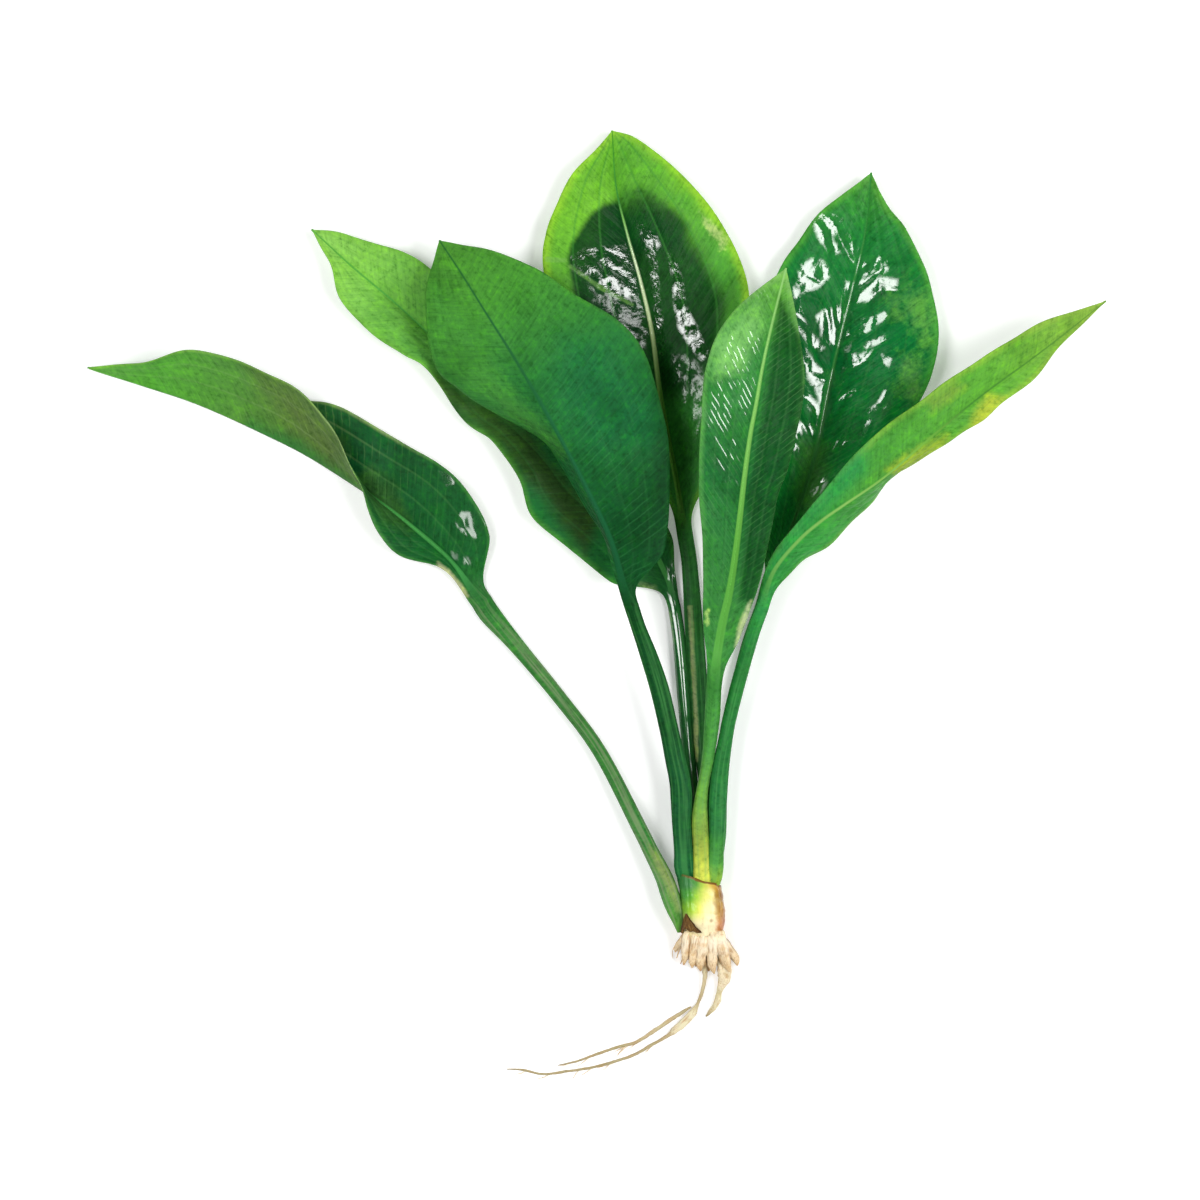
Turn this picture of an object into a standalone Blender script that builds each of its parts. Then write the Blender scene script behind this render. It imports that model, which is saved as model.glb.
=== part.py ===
"""Amazon sword plant, bare root, lying on its back on a flat surface.

Frame: +X to the plant's right, +Y along the petioles towards the leaf tips, +Z up.
The origin is in the flat patch under the crown, at the height of the surface.
Every length in the tables below is in millimetres; the mesh is written in metres.
"""
import math

import bmesh
import bpy
import numpy as np

MM = 0.001

# Driving dimensions, in millimetres
LEAF_THICKNESS = 0.9
COSTA_DEPTH = 1.3
COSTA_HALF_WIDTH = 1.5
MIDRIB_GROOVE = 0.25
BLADE_BULGE = 0.05
TIP_HALF_WIDTH = 0.5
TIP_COSTA_SHARE = 0.4
# A stalk's ring stops this far short of a half turn, so that its two edges stay blunt
OVAL_SWEEP = 0.97
GAP = 0.3
SHARP_ANGLE = math.radians(50)

CROWN_END_Y = 9.1
CROWN_END_SLOPE = -0.28
CROWN_SQUARENESS = 2.6
SCALE_THICKNESS = 0.6
SCALE_LIFT = 0.35
SCALE_APEX_Y = -0.9
SCALE_FOOT_Y = -6.4
SCALE_APEX_ANGLE = math.radians(133)
SCALE_FOOT_ANGLE = math.radians(126)
SCALE_APEX_SPREAD = math.radians(2.5)
SCALE_FOOT_SPREAD = math.radians(33)
SCALE_STATIONS = 6
SCALE_SIDES = 7

SHORT_ROOT_RADIUS = 1.15
ROOT_START_Y = -7.1

# How finely the leaves, the crown and the roots are divided
CURVE_STEPS = 12
STALK_STATIONS = 9
BLADE_STATIONS = 17
HALF_BLADE_POINTS = 4
CROWN_SIDES = 24
ROOT_SIDES = 8
SHORT_ROOT_STATIONS = 7

# Crown sections along Y: y, middle x, half width, middle z, half height
CROWN_SECTIONS = [
    (9.0, -1.3, 6.7, 5.9, 5.9),
    (5.0, -0.6, 6.5, 5.8, 6.2),
    (0.0, 0.0, 6.4, 5.7, 6.4),
    (-4.0, 0.1, 6.4, 5.7, 6.1),
    (-6.8, 0.0, 6.1, 5.6, 5.0),
]

# A leaf is one stalk and one blade. A stalk point is x, y, z, width, thickness.
# Midrib and margin points are x, y, z, from the foot of the blade to the tip.
LEAVES = {
    "leaf_far_left": {
        "colour": (0.05, 0.22, 0.05),
        "stalk": [
            (-7.9, -4.8, 6.6, 2.2, 3.4),
            (-8.8, 0.0, 6.8, 3.4, 4.4),
            (-10.2, 5.0, 6.8, 4.6, 4.6),
            (-12.0, 10.5, 6.5, 5.0, 4.6),
            (-15.8, 18.0, 5.8, 4.6, 4.4),
            (-18.9, 24.3, 5.2, 4.5, 4.2),
            (-30.9, 47.4, 3.8, 4.2, 3.8),
            (-42.9, 63.6, 2.9, 4.2, 3.4),
            (-55.6, 79.0, 2.4, 4.8, 3.0),
            (-63.8, 88.6, 2.2, 6.4, 2.6),
        ],
        "midrib": [
            (-66.4, 92.6, 2.0),
            (-75.9, 105.0, 1.7),
            (-87.9, 115.5, 1.55),
            (-101.4, 125.4, 1.4),
            (-117.9, 136.5, 1.2),
            (-132.9, 144.0, 1.05),
            (-150.9, 151.8, 1.2),
            (-165.9, 156.8, 2.4),
            (-184.5, 162.6, 5.0),
        ],
        "left": [
            (-70.0, 91.8, 2.6),
            (-72.4, 97.0, 3.6),
            (-79.8, 103.2, 5.0),
            (-90.9, 106.5, 6.0),
            (-96.6, 112.0, 7.5),
            (-100.6, 120.0, 10.0),
            (-103.8, 130.5, 13.0),
            (-111.9, 145.5, 16.5),
            (-123.9, 157.5, 18.0),
            (-138.9, 164.4, 17.0),
            (-153.9, 167.4, 14.0),
            (-168.9, 164.2, 9.5),
            (-184.5, 162.6, 5.0),
        ],
        "right": [
            (-62.6, 93.6, 2.6),
            (-61.9, 99.5, 4.0),
            (-62.9, 107.0, 6.0),
            (-66.0, 117.6, 8.0),
            (-72.0, 127.5, 8.2),
            (-79.8, 134.4, 7.5),
            (-90.3, 140.1, 6.0),
            (-108.9, 151.0, 3.6),
            (-121.0, 153.0, 2.6),
            (-135.9, 154.5, 2.4),
            (-150.9, 158.1, 2.8),
            (-168.9, 161.1, 4.0),
            (-184.5, 162.6, 5.0),
        ],
    },
    "leaf_back_left": {
        "colour": (0.08, 0.30, 0.06),
        "stalk": [
            (-4.6, 10.8, 3.2, 4.3, 4.4),
            (-3.8, 21.0, 3.1, 3.9, 4.2),
            (-2.9, 33.0, 3.0, 3.5, 4.0),
            (-4.3, 47.0, 2.8, 3.7, 3.8),
            (-5.7, 63.0, 2.6, 3.9, 3.4),
            (-7.2, 81.0, 2.4, 3.9, 3.0),
        ],
        "midrib": [
            (-8.6, 91.0, 2.0),
            (-11.5, 101.0, 1.75),
            (-18.9, 114.0, 1.6),
            (-36.9, 132.0, 1.4),
            (-60.9, 153.0, 1.15),
            (-82.5, 173.1, 0.95),
            (-93.0, 182.7, 1.6),
            (-105.9, 193.5, 3.4),
            (-117.3, 204.0, 6.0),
        ],
        "left": [
            (-10.2, 90.6, 2.6),
            (-14.6, 90.4, 3.4),
            (-20.4, 93.6, 4.5),
            (-30.3, 100.5, 6.5),
            (-40.5, 108.6, 5.0),
            (-51.0, 117.6, 7.0),
            (-55.0, 129.0, 8.5),
            (-63.0, 140.1, 6.5),
            (-71.1, 146.4, 5.5),
            (-82.5, 161.7, 8.0),
            (-90.3, 166.5, 8.0),
            (-101.7, 175.2, 6.0),
            (-109.0, 183.5, 7.0),
            (-112.0, 194.0, 7.0),
            (-117.3, 204.0, 6.0),
        ],
        "right": [
            (-7.0, 91.4, 2.6),
            (-8.6, 101.0, 3.6),
            (-14.0, 116.0, 5.5),
            (-24.9, 130.5, 7.0),
            (-36.9, 145.5, 6.0),
            (-51.9, 162.0, 5.0),
            (-66.9, 177.5, 7.0),
            (-81.3, 191.4, 8.0),
            (-88.8, 196.8, 7.0),
            (-98.0, 199.8, 6.5),
            (-108.9, 203.1, 6.0),
            (-117.3, 204.0, 6.0),
        ],
    },
    "leaf_front_left": {
        "colour": (0.12, 0.40, 0.10),
        "stalk": [
            (-5.7, 10.8, 9.0, 5.7, 4.4),
            (-5.9, 18.0, 9.0, 5.7, 4.6),
            (-6.5, 27.0, 9.1, 5.8, 4.6),
            (-6.5, 33.0, 9.3, 6.5, 4.5),
            (-7.0, 39.0, 9.6, 6.4, 4.4),
            (-8.4, 45.5, 10.1, 6.1, 4.3),
            (-10.2, 54.0, 10.9, 5.7, 4.1),
            (-13.0, 66.0, 12.4, 5.7, 3.8),
            (-16.2, 76.0, 13.9, 5.2, 3.5),
            (-19.3, 84.5, 15.3, 4.4, 3.3),
        ],
        "midrib": [
            (-21.6, 91.5, 16.5),
            (-24.6, 100.5, 18.5),
            (-28.5, 112.5, 21.0),
            (-34.2, 124.5, 23.5),
            (-40.5, 136.8, 25.5),
            (-48.6, 151.8, 27.0),
            (-56.7, 165.6, 26.5),
            (-64.8, 178.5, 24.0),
            (-72.6, 191.0, 19.5),
            (-78.9, 200.5, 14.0),
        ],
        "left": [
            (-23.4, 91.2, 16.5),
            (-26.2, 101.0, 17.5),
            (-30.5, 112.0, 17.5),
            (-36.5, 123.0, 16.0),
            (-44.0, 136.0, 14.5),
            (-53.7, 144.0, 13.0),
            (-65.7, 151.0, 12.0),
            (-73.5, 156.5, 11.5),
            (-79.2, 160.5, 11.5),
            (-81.8, 168.0, 12.0),
            (-82.8, 179.4, 13.5),
            (-82.0, 190.0, 14.0),
            (-78.9, 200.5, 14.0),
        ],
        "right": [
            (-19.8, 91.8, 16.5),
            (-18.6, 94.0, 17.0),
            (-13.2, 102.5, 18.5),
            (-10.8, 113.0, 19.5),
            (-10.2, 123.0, 20.5),
            (-10.6, 140.7, 21.0),
            (-14.1, 156.6, 20.0),
            (-18.6, 168.5, 19.0),
            (-26.1, 176.7, 19.5),
            (-40.5, 185.7, 20.5),
            (-50.1, 192.0, 19.5),
            (-64.8, 197.7, 17.0),
            (-78.9, 200.5, 14.0),
        ],
    },
    "leaf_centre_back": {
        "colour": (0.10, 0.36, 0.05),
        "stalk": [
            (0.0, 9.5, 3.2, 4.0, 4.4),
            (0.5, 21.0, 3.1, 3.7, 4.2),
            (1.0, 33.0, 3.0, 3.5, 4.0),
            (-0.1, 47.0, 2.8, 3.5, 3.8),
            (-1.3, 63.0, 2.6, 3.8, 3.4),
            (-2.6, 83.0, 2.3, 3.8, 3.0),
            (-4.1, 103.0, 2.1, 3.4, 2.6),
        ],
        "midrib": [
            (-5.4, 112.5, 2.0),
            (-8.1, 128.7, 1.65),
            (-10.6, 141.9, 1.5),
            (-12.9, 155.1, 1.35),
            (-15.3, 173.1, 1.2),
            (-18.6, 188.0, 1.05),
            (-22.8, 203.0, 0.95),
            (-26.1, 217.2, 1.8),
            (-27.3, 233.7, 4.5),
        ],
        "left": [
            (-6.9, 112.3, 2.4),
            (-9.6, 120.0, 3.6),
            (-17.4, 133.5, 6.0),
            (-27.9, 147.0, 7.0),
            (-38.4, 162.0, 6.0),
            (-45.3, 177.0, 6.5),
            (-48.0, 192.9, 8.0),
            (-46.8, 203.4, 7.5),
            (-44.1, 211.0, 6.5),
            (-39.0, 221.1, 7.0),
            (-31.0, 229.0, 6.0),
            (-27.3, 233.7, 4.5),
        ],
        "right": [
            (-3.9, 112.7, 2.4),
            (-0.9, 121.5, 3.6),
            (3.6, 135.0, 5.5),
            (8.1, 150.0, 7.0),
            (12.3, 168.0, 7.5),
            (13.8, 184.0, 6.5),
            (10.5, 196.5, 7.5),
            (4.2, 207.5, 8.0),
            (-2.7, 216.6, 7.0),
            (-11.7, 225.3, 6.5),
            (-20.4, 231.5, 5.5),
            (-27.3, 233.7, 4.5),
        ],
    },
    "leaf_front_centre": {
        "colour": (0.10, 0.38, 0.08),
        "stalk": [
            (-0.3, 9.4, 9.0, 4.1, 4.2),
            (-0.6, 18.0, 9.1, 4.1, 4.4),
            (-1.0, 27.0, 9.2, 4.3, 4.4),
            (-0.7, 33.0, 9.4, 3.9, 4.3),
            (0.2, 39.0, 9.8, 3.4, 4.2),
            (1.5, 46.5, 10.5, 3.7, 4.1),
            (2.6, 57.0, 11.9, 4.6, 3.8),
        ],
        "midrib": [
            (3.1, 66.0, 13.3),
            (3.9, 75.0, 14.8),
            (5.6, 86.0, 16.5),
            (7.9, 96.5, 18.4),
            (10.0, 111.0, 21.5),
            (12.0, 128.7, 25.5),
            (13.8, 141.9, 27.8),
            (15.6, 151.5, 29.0),
            (17.4, 162.0, 29.2),
            (20.1, 174.3, 27.5),
            (24.6, 192.0, 22.0),
        ],
        "left": [
            (0.8, 66.3, 13.5),
            (0.5, 76.0, 15.4),
            (0.0, 86.7, 17.8),
            (-0.1, 96.0, 20.5),
            (-0.3, 106.0, 24.0),
            (-0.9, 119.1, 28.0),
            (-1.5, 133.0, 31.0),
            (-0.8, 148.8, 33.5),
            (0.6, 161.4, 34.0),
            (3.3, 170.7, 33.0),
            (8.1, 178.2, 30.5),
            (14.7, 184.5, 27.0),
            (24.6, 192.0, 22.0),
        ],
        "right": [
            (5.4, 65.7, 13.5),
            (6.8, 73.0, 14.8),
            (8.7, 79.2, 16.0),
            (12.6, 89.7, 18.4),
            (16.2, 97.0, 21.0),
            (18.6, 106.0, 23.5),
            (20.2, 115.0, 25.5),
            (22.0, 124.0, 27.5),
            (25.2, 132.5, 29.5),
            (28.0, 144.6, 31.5),
            (30.0, 158.5, 31.5),
            (28.8, 170.4, 29.5),
            (26.8, 181.8, 26.0),
            (24.6, 192.0, 22.0),
        ],
    },
    "leaf_back_right": {
        "colour": (0.06, 0.28, 0.06),
        "stalk": [
            (4.6, 8.2, 3.2, 4.2, 4.4),
            (5.0, 21.0, 3.1, 3.9, 4.2),
            (5.4, 33.0, 3.0, 3.6, 4.0),
            (6.5, 47.0, 2.8, 3.4, 3.8),
            (9.2, 63.0, 2.6, 3.4, 3.4),
            (13.0, 79.0, 2.4, 3.4, 3.0),
        ],
        "midrib": [
            (17.6, 92.0, 2.0),
            (22.6, 104.0, 1.7),
            (28.8, 121.0, 1.55),
            (33.9, 137.7, 1.35),
            (37.4, 155.0, 1.2),
            (41.0, 171.0, 1.05),
            (45.0, 187.5, 0.95),
            (48.6, 203.0, 2.2),
            (50.4, 221.1, 5.0),
        ],
        "left": [
            (16.1, 92.4, 2.6),
            (17.6, 101.0, 3.6),
            (17.4, 113.0, 5.0),
            (16.8, 126.0, 6.5),
            (16.4, 138.0, 6.0),
            (16.6, 153.0, 5.5),
            (17.6, 168.0, 7.0),
            (19.6, 183.0, 7.5),
            (23.6, 193.5, 7.0),
            (28.5, 200.5, 6.0),
            (33.9, 208.2, 6.5),
            (41.7, 214.2, 6.5),
            (50.4, 221.1, 5.0),
        ],
        "right": [
            (19.1, 91.6, 2.6),
            (23.5, 97.5, 3.6),
            (31.5, 107.0, 5.0),
            (40.5, 119.4, 6.5),
            (47.1, 127.8, 6.5),
            (54.6, 137.4, 5.5),
            (64.0, 151.0, 7.0),
            (69.0, 162.0, 8.0),
            (70.4, 174.0, 7.5),
            (68.1, 187.5, 6.5),
            (65.2, 195.5, 7.5),
            (60.6, 204.3, 7.5),
            (55.0, 211.0, 6.5),
            (50.4, 221.1, 5.0),
        ],
    },
    "leaf_low_right": {
        "colour": (0.16, 0.45, 0.07),
        "stalk": [
            (3.9, 8.2, 9.0, 3.4, 4.0),
            (4.0, 21.0, 9.1, 4.5, 4.4),
            (4.4, 33.0, 9.4, 5.4, 4.4),
            (5.1, 42.0, 9.9, 5.2, 4.2),
            (6.6, 51.0, 10.6, 4.3, 4.0),
            (7.7, 57.0, 11.1, 4.2, 3.9),
            (10.4, 68.0, 12.2, 4.3, 3.6),
            (14.4, 82.0, 13.7, 4.2, 3.2),
        ],
        "midrib": [
            (17.2, 90.0, 14.8),
            (21.0, 101.5, 16.5),
            (28.2, 110.6, 19.0),
            (35.1, 116.6, 21.0),
            (42.0, 121.4, 22.6),
            (54.3, 129.9, 24.5),
            (68.1, 141.9, 24.2),
            (83.1, 154.2, 22.0),
            (101.1, 167.4, 18.6),
            (120.3, 182.4, 14.0),
        ],
        "left": [
            (15.3, 90.6, 15.2),
            (18.6, 102.8, 17.4),
            (25.2, 112.5, 20.5),
            (35.1, 124.8, 24.0),
            (42.6, 133.6, 26.5),
            (53.1, 144.0, 28.0),
            (64.8, 152.6, 28.0),
            (77.4, 161.4, 27.0),
            (90.0, 169.8, 24.5),
            (102.6, 176.4, 20.5),
            (120.3, 182.4, 14.0),
        ],
        "right": [
            (19.1, 89.4, 14.6),
            (22.6, 96.0, 14.0),
            (28.8, 103.5, 13.0),
            (37.5, 109.2, 12.2),
            (45.6, 118.2, 12.2),
            (51.6, 123.6, 13.0),
            (57.0, 129.8, 15.0),
            (65.1, 135.3, 18.0),
            (75.5, 142.0, 20.5),
            (83.4, 146.4, 21.5),
            (89.1, 151.8, 21.0),
            (98.4, 158.7, 19.2),
            (106.5, 168.5, 17.0),
            (120.3, 182.4, 14.0),
        ],
    },
}

# Short roots in three rows, one above another, from the crown's lower end.
# The two long roots start between those of the middle row.
SHORT_ROOT_ROWS = [
    {"start_z": 8.5, "end_z": 4.4, "roots": [
        {"start_x": -4.8, "end_x": -5.9, "end_y": -16.4},
        {"start_x": -2.4, "end_x": -3.3, "end_y": -17.2},
        {"start_x": 0.0, "end_x": -0.7, "end_y": -18.2},
        {"start_x": 2.4, "end_x": 3.4, "end_y": -19.0},
        {"start_x": 4.8, "end_x": 8.0, "end_y": -18.4},
    ]},
    {"start_z": 5.4, "end_z": 2.7, "roots": [
        {"start_x": -4.9, "end_x": -8.3, "end_y": -12.6},
        {"start_x": 5.1, "end_x": 10.2, "end_y": -16.6},
    ]},
    {"start_z": 2.3, "end_z": 1.3, "roots": [
        {"start_x": -3.9, "end_x": -6.2, "end_y": -15.4},
        {"start_x": -1.3, "end_x": -2.2, "end_y": -17.0},
        {"start_x": 1.3, "end_x": 1.6, "end_y": -18.4},
        {"start_x": 3.9, "end_x": 7.2, "end_y": -14.6},
    ]},
]

# Long roots: x, y, z, radius along each root
LONG_ROOTS = {
    "root_long_left": [
        (-1.1, -7.1, 5.4, 1.10),
        (-0.9, -9.9, 5.0, 1.15),
        (-0.2, -13.6, 3.6, 1.05),
        (0.4, -17.4, 2.6, 0.90),
        (0.5, -19.9, 2.2, 0.75),
        (0.1, -22.8, 1.6, 0.70),
        (-0.6, -25.5, 1.0, 0.60),
        (-1.6, -28.0, 0.9, 0.60),
        (-3.2, -30.8, 0.9, 0.80),
        (-6.0, -34.0, 0.95, 0.85),
        (-9.6, -36.9, 0.9, 0.75),
        (-15.9, -40.7, 0.7, 0.55),
        (-21.6, -43.8, 0.6, 0.50),
        (-32.4, -47.0, 0.55, 0.45),
        (-41.1, -48.4, 0.5, 0.42),
        (-48.0, -49.2, 0.5, 0.40),
        (-54.3, -47.9, 0.45, 0.35),
        (-58.8, -47.7, 0.4, 0.30),
    ],
    "root_branch_left": [
        (-4.3, -29.4, 0.8, 0.35),
        (-9.6, -32.8, 0.8, 0.45),
        (-14.8, -36.3, 0.7, 0.50),
        (-20.2, -39.7, 0.65, 0.50),
        (-24.6, -40.8, 0.6, 0.45),
        (-32.4, -43.4, 0.5, 0.40),
        (-38.0, -45.4, 0.5, 0.35),
        (-43.5, -46.6, 0.4, 0.30),
    ],
    "root_long_right": [
        (2.0, -7.1, 5.4, 1.10),
        (2.5, -9.9, 5.0, 1.15),
        (4.0, -13.6, 3.6, 1.15),
        (5.6, -17.2, 2.5, 1.20),
        (6.2, -19.9, 1.9, 1.35),
        (5.3, -22.8, 1.4, 1.15),
        (4.4, -27.0, 1.1, 0.95),
        (2.9, -29.7, 0.95, 0.80),
        (1.1, -31.6, 0.6, 0.45),
    ],
}


def clear_scene():
    for thing in list(bpy.data.objects):
        bpy.data.objects.remove(thing)


def make_material(name, colour, roughness):
    material = bpy.data.materials.new(name)
    material.use_nodes = True
    shader = material.node_tree.nodes["Principled BSDF"]
    shader.inputs["Base Color"].default_value = (*colour, 1.0)
    shader.inputs["Roughness"].default_value = roughness
    shader.inputs["Metallic"].default_value = 0.0
    return material


def smooth_step(value):
    value = min(max(value, 0.0), 1.0)
    return value * value * (3.0 - 2.0 * value)


def unit(vector):
    return vector / np.linalg.norm(vector)


def smooth_curve(points, count):
    """Points spaced evenly by length along a Catmull-Rom curve through the given points."""
    points = np.array(points, dtype=float)
    padded = np.vstack([2 * points[0] - points[1], points, 2 * points[-1] - points[-2]])
    samples = []
    for index in range(1, len(padded) - 2):
        before, start, end, after = padded[index - 1:index + 3]
        for step in range(CURVE_STEPS):
            t = step / CURVE_STEPS
            samples.append(0.5 * (2 * start + (end - before) * t
                                  + (2 * before - 5 * start + 4 * end - after) * t ** 2
                                  + (3 * start - before - 3 * end + after) * t ** 3))
    samples.append(points[-1])
    samples = np.array(samples)
    lengths = np.linalg.norm(np.diff(samples[:, :3], axis=0), axis=1)
    along = np.concatenate([[0.0], np.cumsum(lengths)])
    wanted = np.linspace(0.0, along[-1], count)
    return np.column_stack([np.interp(wanted, along, samples[:, axis])
                            for axis in range(points.shape[1])])


def tangents_of(points):
    return np.array([unit(vector) for vector in np.gradient(points, axis=0)])


def stalk_ring(centre, tangent, width, thickness):
    """An oval ring, its upper points from left to right and then its lower ones back."""
    side = unit(np.cross(tangent, (0.0, 0.0, 1.0)))
    normal = np.cross(side, tangent)
    points = 2 * HALF_BLADE_POINTS + 1
    angles = np.linspace(-OVAL_SWEEP * math.pi / 2, OVAL_SWEEP * math.pi / 2, points)
    across = [side * math.sin(angle) * width / 2 for angle in angles]
    raised = [normal * math.cos(angle) * thickness / 2 for angle in angles]
    upper = [centre + a + r for a, r in zip(across, raised)]
    lower = [centre + a - r for a, r in zip(across, raised)]
    return np.array(upper + lower[::-1])


def half_blade(middle, margin, normal, tangent, side_sign, costa):
    """Points and normals from beside the midrib out to one margin of the blade."""
    span = margin - middle
    length = max(np.linalg.norm(span), 0.01)
    facing = np.cross(span, tangent) * side_sign
    if np.linalg.norm(facing) < 0.2 * length:
        facing = normal
    facing = unit(facing)
    start = min(costa / length, 0.6)
    fractions = [start + (1.0 - start) * step / (HALF_BLADE_POINTS - 1)
                 for step in range(HALF_BLADE_POINTS)]
    points = [middle + span * f + facing * length * BLADE_BULGE * 4 * f * (1 - f)
              for f in fractions]
    return points, facing


def blade_ring(middle, left, right, tangent, along):
    """One ring of the thin blade with its groove above and its costa below."""
    side = unit(right - left)
    normal = unit(np.cross(side, tangent))
    shrink = 1.0 - along
    tip_costa = TIP_HALF_WIDTH * TIP_COSTA_SHARE
    costa = tip_costa + (COSTA_HALF_WIDTH - tip_costa) * shrink
    left_points, left_normal = half_blade(middle, left, normal, tangent, -1.0, costa)
    right_points, right_normal = half_blade(middle, right, normal, tangent, 1.0, costa)
    half = LEAF_THICKNESS / 2
    groove = MIDRIB_GROOVE * shrink
    depth = half + COSTA_DEPTH * shrink
    upper = [p + left_normal * half for p in reversed(left_points)]
    upper.append(middle + normal * (half - groove))
    upper += [p + right_normal * half for p in right_points]
    lower = [p - left_normal * half for p in reversed(left_points)]
    lower.append(middle - normal * depth)
    lower += [p - right_normal * half for p in right_points]
    return np.array(upper + lower[::-1])


def leaf_rings(leaf):
    """Rings from the foot of the stalk to the tip of the blade."""
    stalk_points = leaf["stalk"]
    blade_foot = (*leaf["midrib"][0], *stalk_points[-1][3:])
    stalk = smooth_curve(stalk_points + [blade_foot], STALK_STATIONS + 1)
    midrib = smooth_curve(leaf["midrib"], BLADE_STATIONS)
    left = smooth_curve(leaf["left"], BLADE_STATIONS)
    right = smooth_curve(leaf["right"], BLADE_STATIONS)
    spine = np.vstack([stalk[:-1, :3], midrib])
    tangents = tangents_of(spine)
    rings = []
    for index in range(STALK_STATIONS):
        rings.append(stalk_ring(spine[index], tangents[index], *stalk[index, 3:]))
    width, thickness = stalk[-1, 3:]
    for index in range(BLADE_STATIONS):
        along = index / (BLADE_STATIONS - 1)
        tangent = tangents[STALK_STATIONS + index]
        across = unit(np.cross(tangent, (0.0, 0.0, 1.0)))
        left_edge = left[index]
        right_edge = right[index]
        if index == BLADE_STATIONS - 1:
            left_edge = midrib[index] - across * TIP_HALF_WIDTH
            right_edge = midrib[index] + across * TIP_HALF_WIDTH
        flat = blade_ring(midrib[index], left_edge, right_edge, tangent, along)
        round_ring = stalk_ring(midrib[index], tangent, width, thickness)
        share = smooth_step(index / 2.0)
        rings.append(round_ring * (1.0 - share) + flat * share)
    return rings


def crown_end(x):
    """Where the slanting upper end of the crown is, along Y."""
    return CROWN_END_Y + CROWN_END_SLOPE * x


def set_on_crown_end(ring):
    """Slide a stalk's first ring onto a plane just clear of the crown's upper end."""
    moved = ring.copy()
    moved[:, 1] = [crown_end(x) + GAP / 2 for x in ring[:, 0]]
    return moved


def mesh_object(name, rings, material):
    """A closed body lofted through rings of equally many points, with flat ends."""
    builder = bmesh.new()
    rows = [[builder.verts.new([value * MM for value in point]) for point in ring]
            for ring in rings]
    sides = len(rows[0])
    for lower, upper in zip(rows, rows[1:]):
        for index in range(sides):
            after = (index + 1) % sides
            builder.faces.new((lower[index], lower[after], upper[after], upper[index]))
    builder.faces.new(rows[0][::-1])
    builder.faces.new(rows[-1])
    bmesh.ops.recalc_face_normals(builder, faces=builder.faces)
    mesh = bpy.data.meshes.new(name)
    builder.to_mesh(mesh)
    builder.free()
    mesh.shade_smooth()
    mesh.set_sharp_from_angle(angle=SHARP_ANGLE)
    mesh.materials.append(material)
    piece = bpy.data.objects.new(name, mesh)
    bpy.context.collection.objects.link(piece)
    return piece


def make_leaves():
    for name, leaf in LEAVES.items():
        rings = leaf_rings(leaf)
        if leaf["stalk"][0][1] > 0:
            rings[0] = set_on_crown_end(rings[0])
        material = make_material(name, leaf["colour"], 0.3)
        mesh_object(name, rings, material)


def crown_point(section, angle, lift=0.0):
    """A point on the crown's rounded-square section; angle 0 is +X and a quarter turn is +Z."""
    y, middle_x, half_width, middle_z, half_height = section
    power = 2.0 / CROWN_SQUARENESS
    across = math.copysign(abs(math.cos(angle)) ** power, math.cos(angle))
    height = math.copysign(abs(math.sin(angle)) ** power, math.sin(angle))
    x = middle_x + (half_width + lift) * across
    z = middle_z + (half_height + lift) * height
    return x, y, z


def crown_section(y):
    """The crown's section at any y between its two ends."""
    sections = sorted(CROWN_SECTIONS)
    places = [section[0] for section in sections]
    return (y, *[np.interp(y, places, [section[index] for section in sections])
                 for index in range(1, 5)])


def make_crown():
    material = make_material("crown", (0.80, 0.72, 0.35), 0.5)
    angles = [2 * math.pi * side / CROWN_SIDES for side in range(CROWN_SIDES)]
    rings = [[crown_point(section, angle) for angle in angles]
             for section in CROWN_SECTIONS]
    rings[0] = [(x, crown_end(x) - GAP / 2, z) for x, _, z in rings[0]]
    crown = mesh_object("crown", rings, material)
    cut_flat_below(crown)


def cut_flat_below(piece):
    """Cut a body off at the surface that it rests on and close it with one flat face."""
    builder = bmesh.new()
    builder.from_mesh(piece.data)
    everything = list(builder.verts) + list(builder.edges) + list(builder.faces)
    cut = bmesh.ops.bisect_plane(builder, geom=everything, dist=0.000001,
                                 plane_co=(0, 0, 0), plane_no=(0, 0, 1), clear_inner=True)
    edges = [item for item in cut["geom_cut"] if isinstance(item, bmesh.types.BMEdge)]
    bmesh.ops.edgeloop_fill(builder, edges=edges)
    bmesh.ops.recalc_face_normals(builder, faces=builder.faces)
    builder.to_mesh(piece.data)
    builder.free()


def make_dry_scale():
    """The brown triangular scale that lies on the left front of the crown."""
    material = make_material("dry_scale", (0.30, 0.17, 0.07), 0.7)
    rings = []
    for step in range(SCALE_STATIONS):
        share = step / (SCALE_STATIONS - 1)
        section = crown_section(SCALE_APEX_Y + (SCALE_FOOT_Y - SCALE_APEX_Y) * share)
        middle = SCALE_APEX_ANGLE + (SCALE_FOOT_ANGLE - SCALE_APEX_ANGLE) * share
        spread = SCALE_APEX_SPREAD + (SCALE_FOOT_SPREAD - SCALE_APEX_SPREAD) * share
        angles = np.linspace(middle + spread, middle - spread, SCALE_SIDES)
        outer = [crown_point(section, angle, SCALE_LIFT + SCALE_THICKNESS) for angle in angles]
        inner = [crown_point(section, angle, SCALE_LIFT) for angle in angles[::-1]]
        rings.append(outer + inner)
    mesh_object("dry_scale", rings, material)


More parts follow.
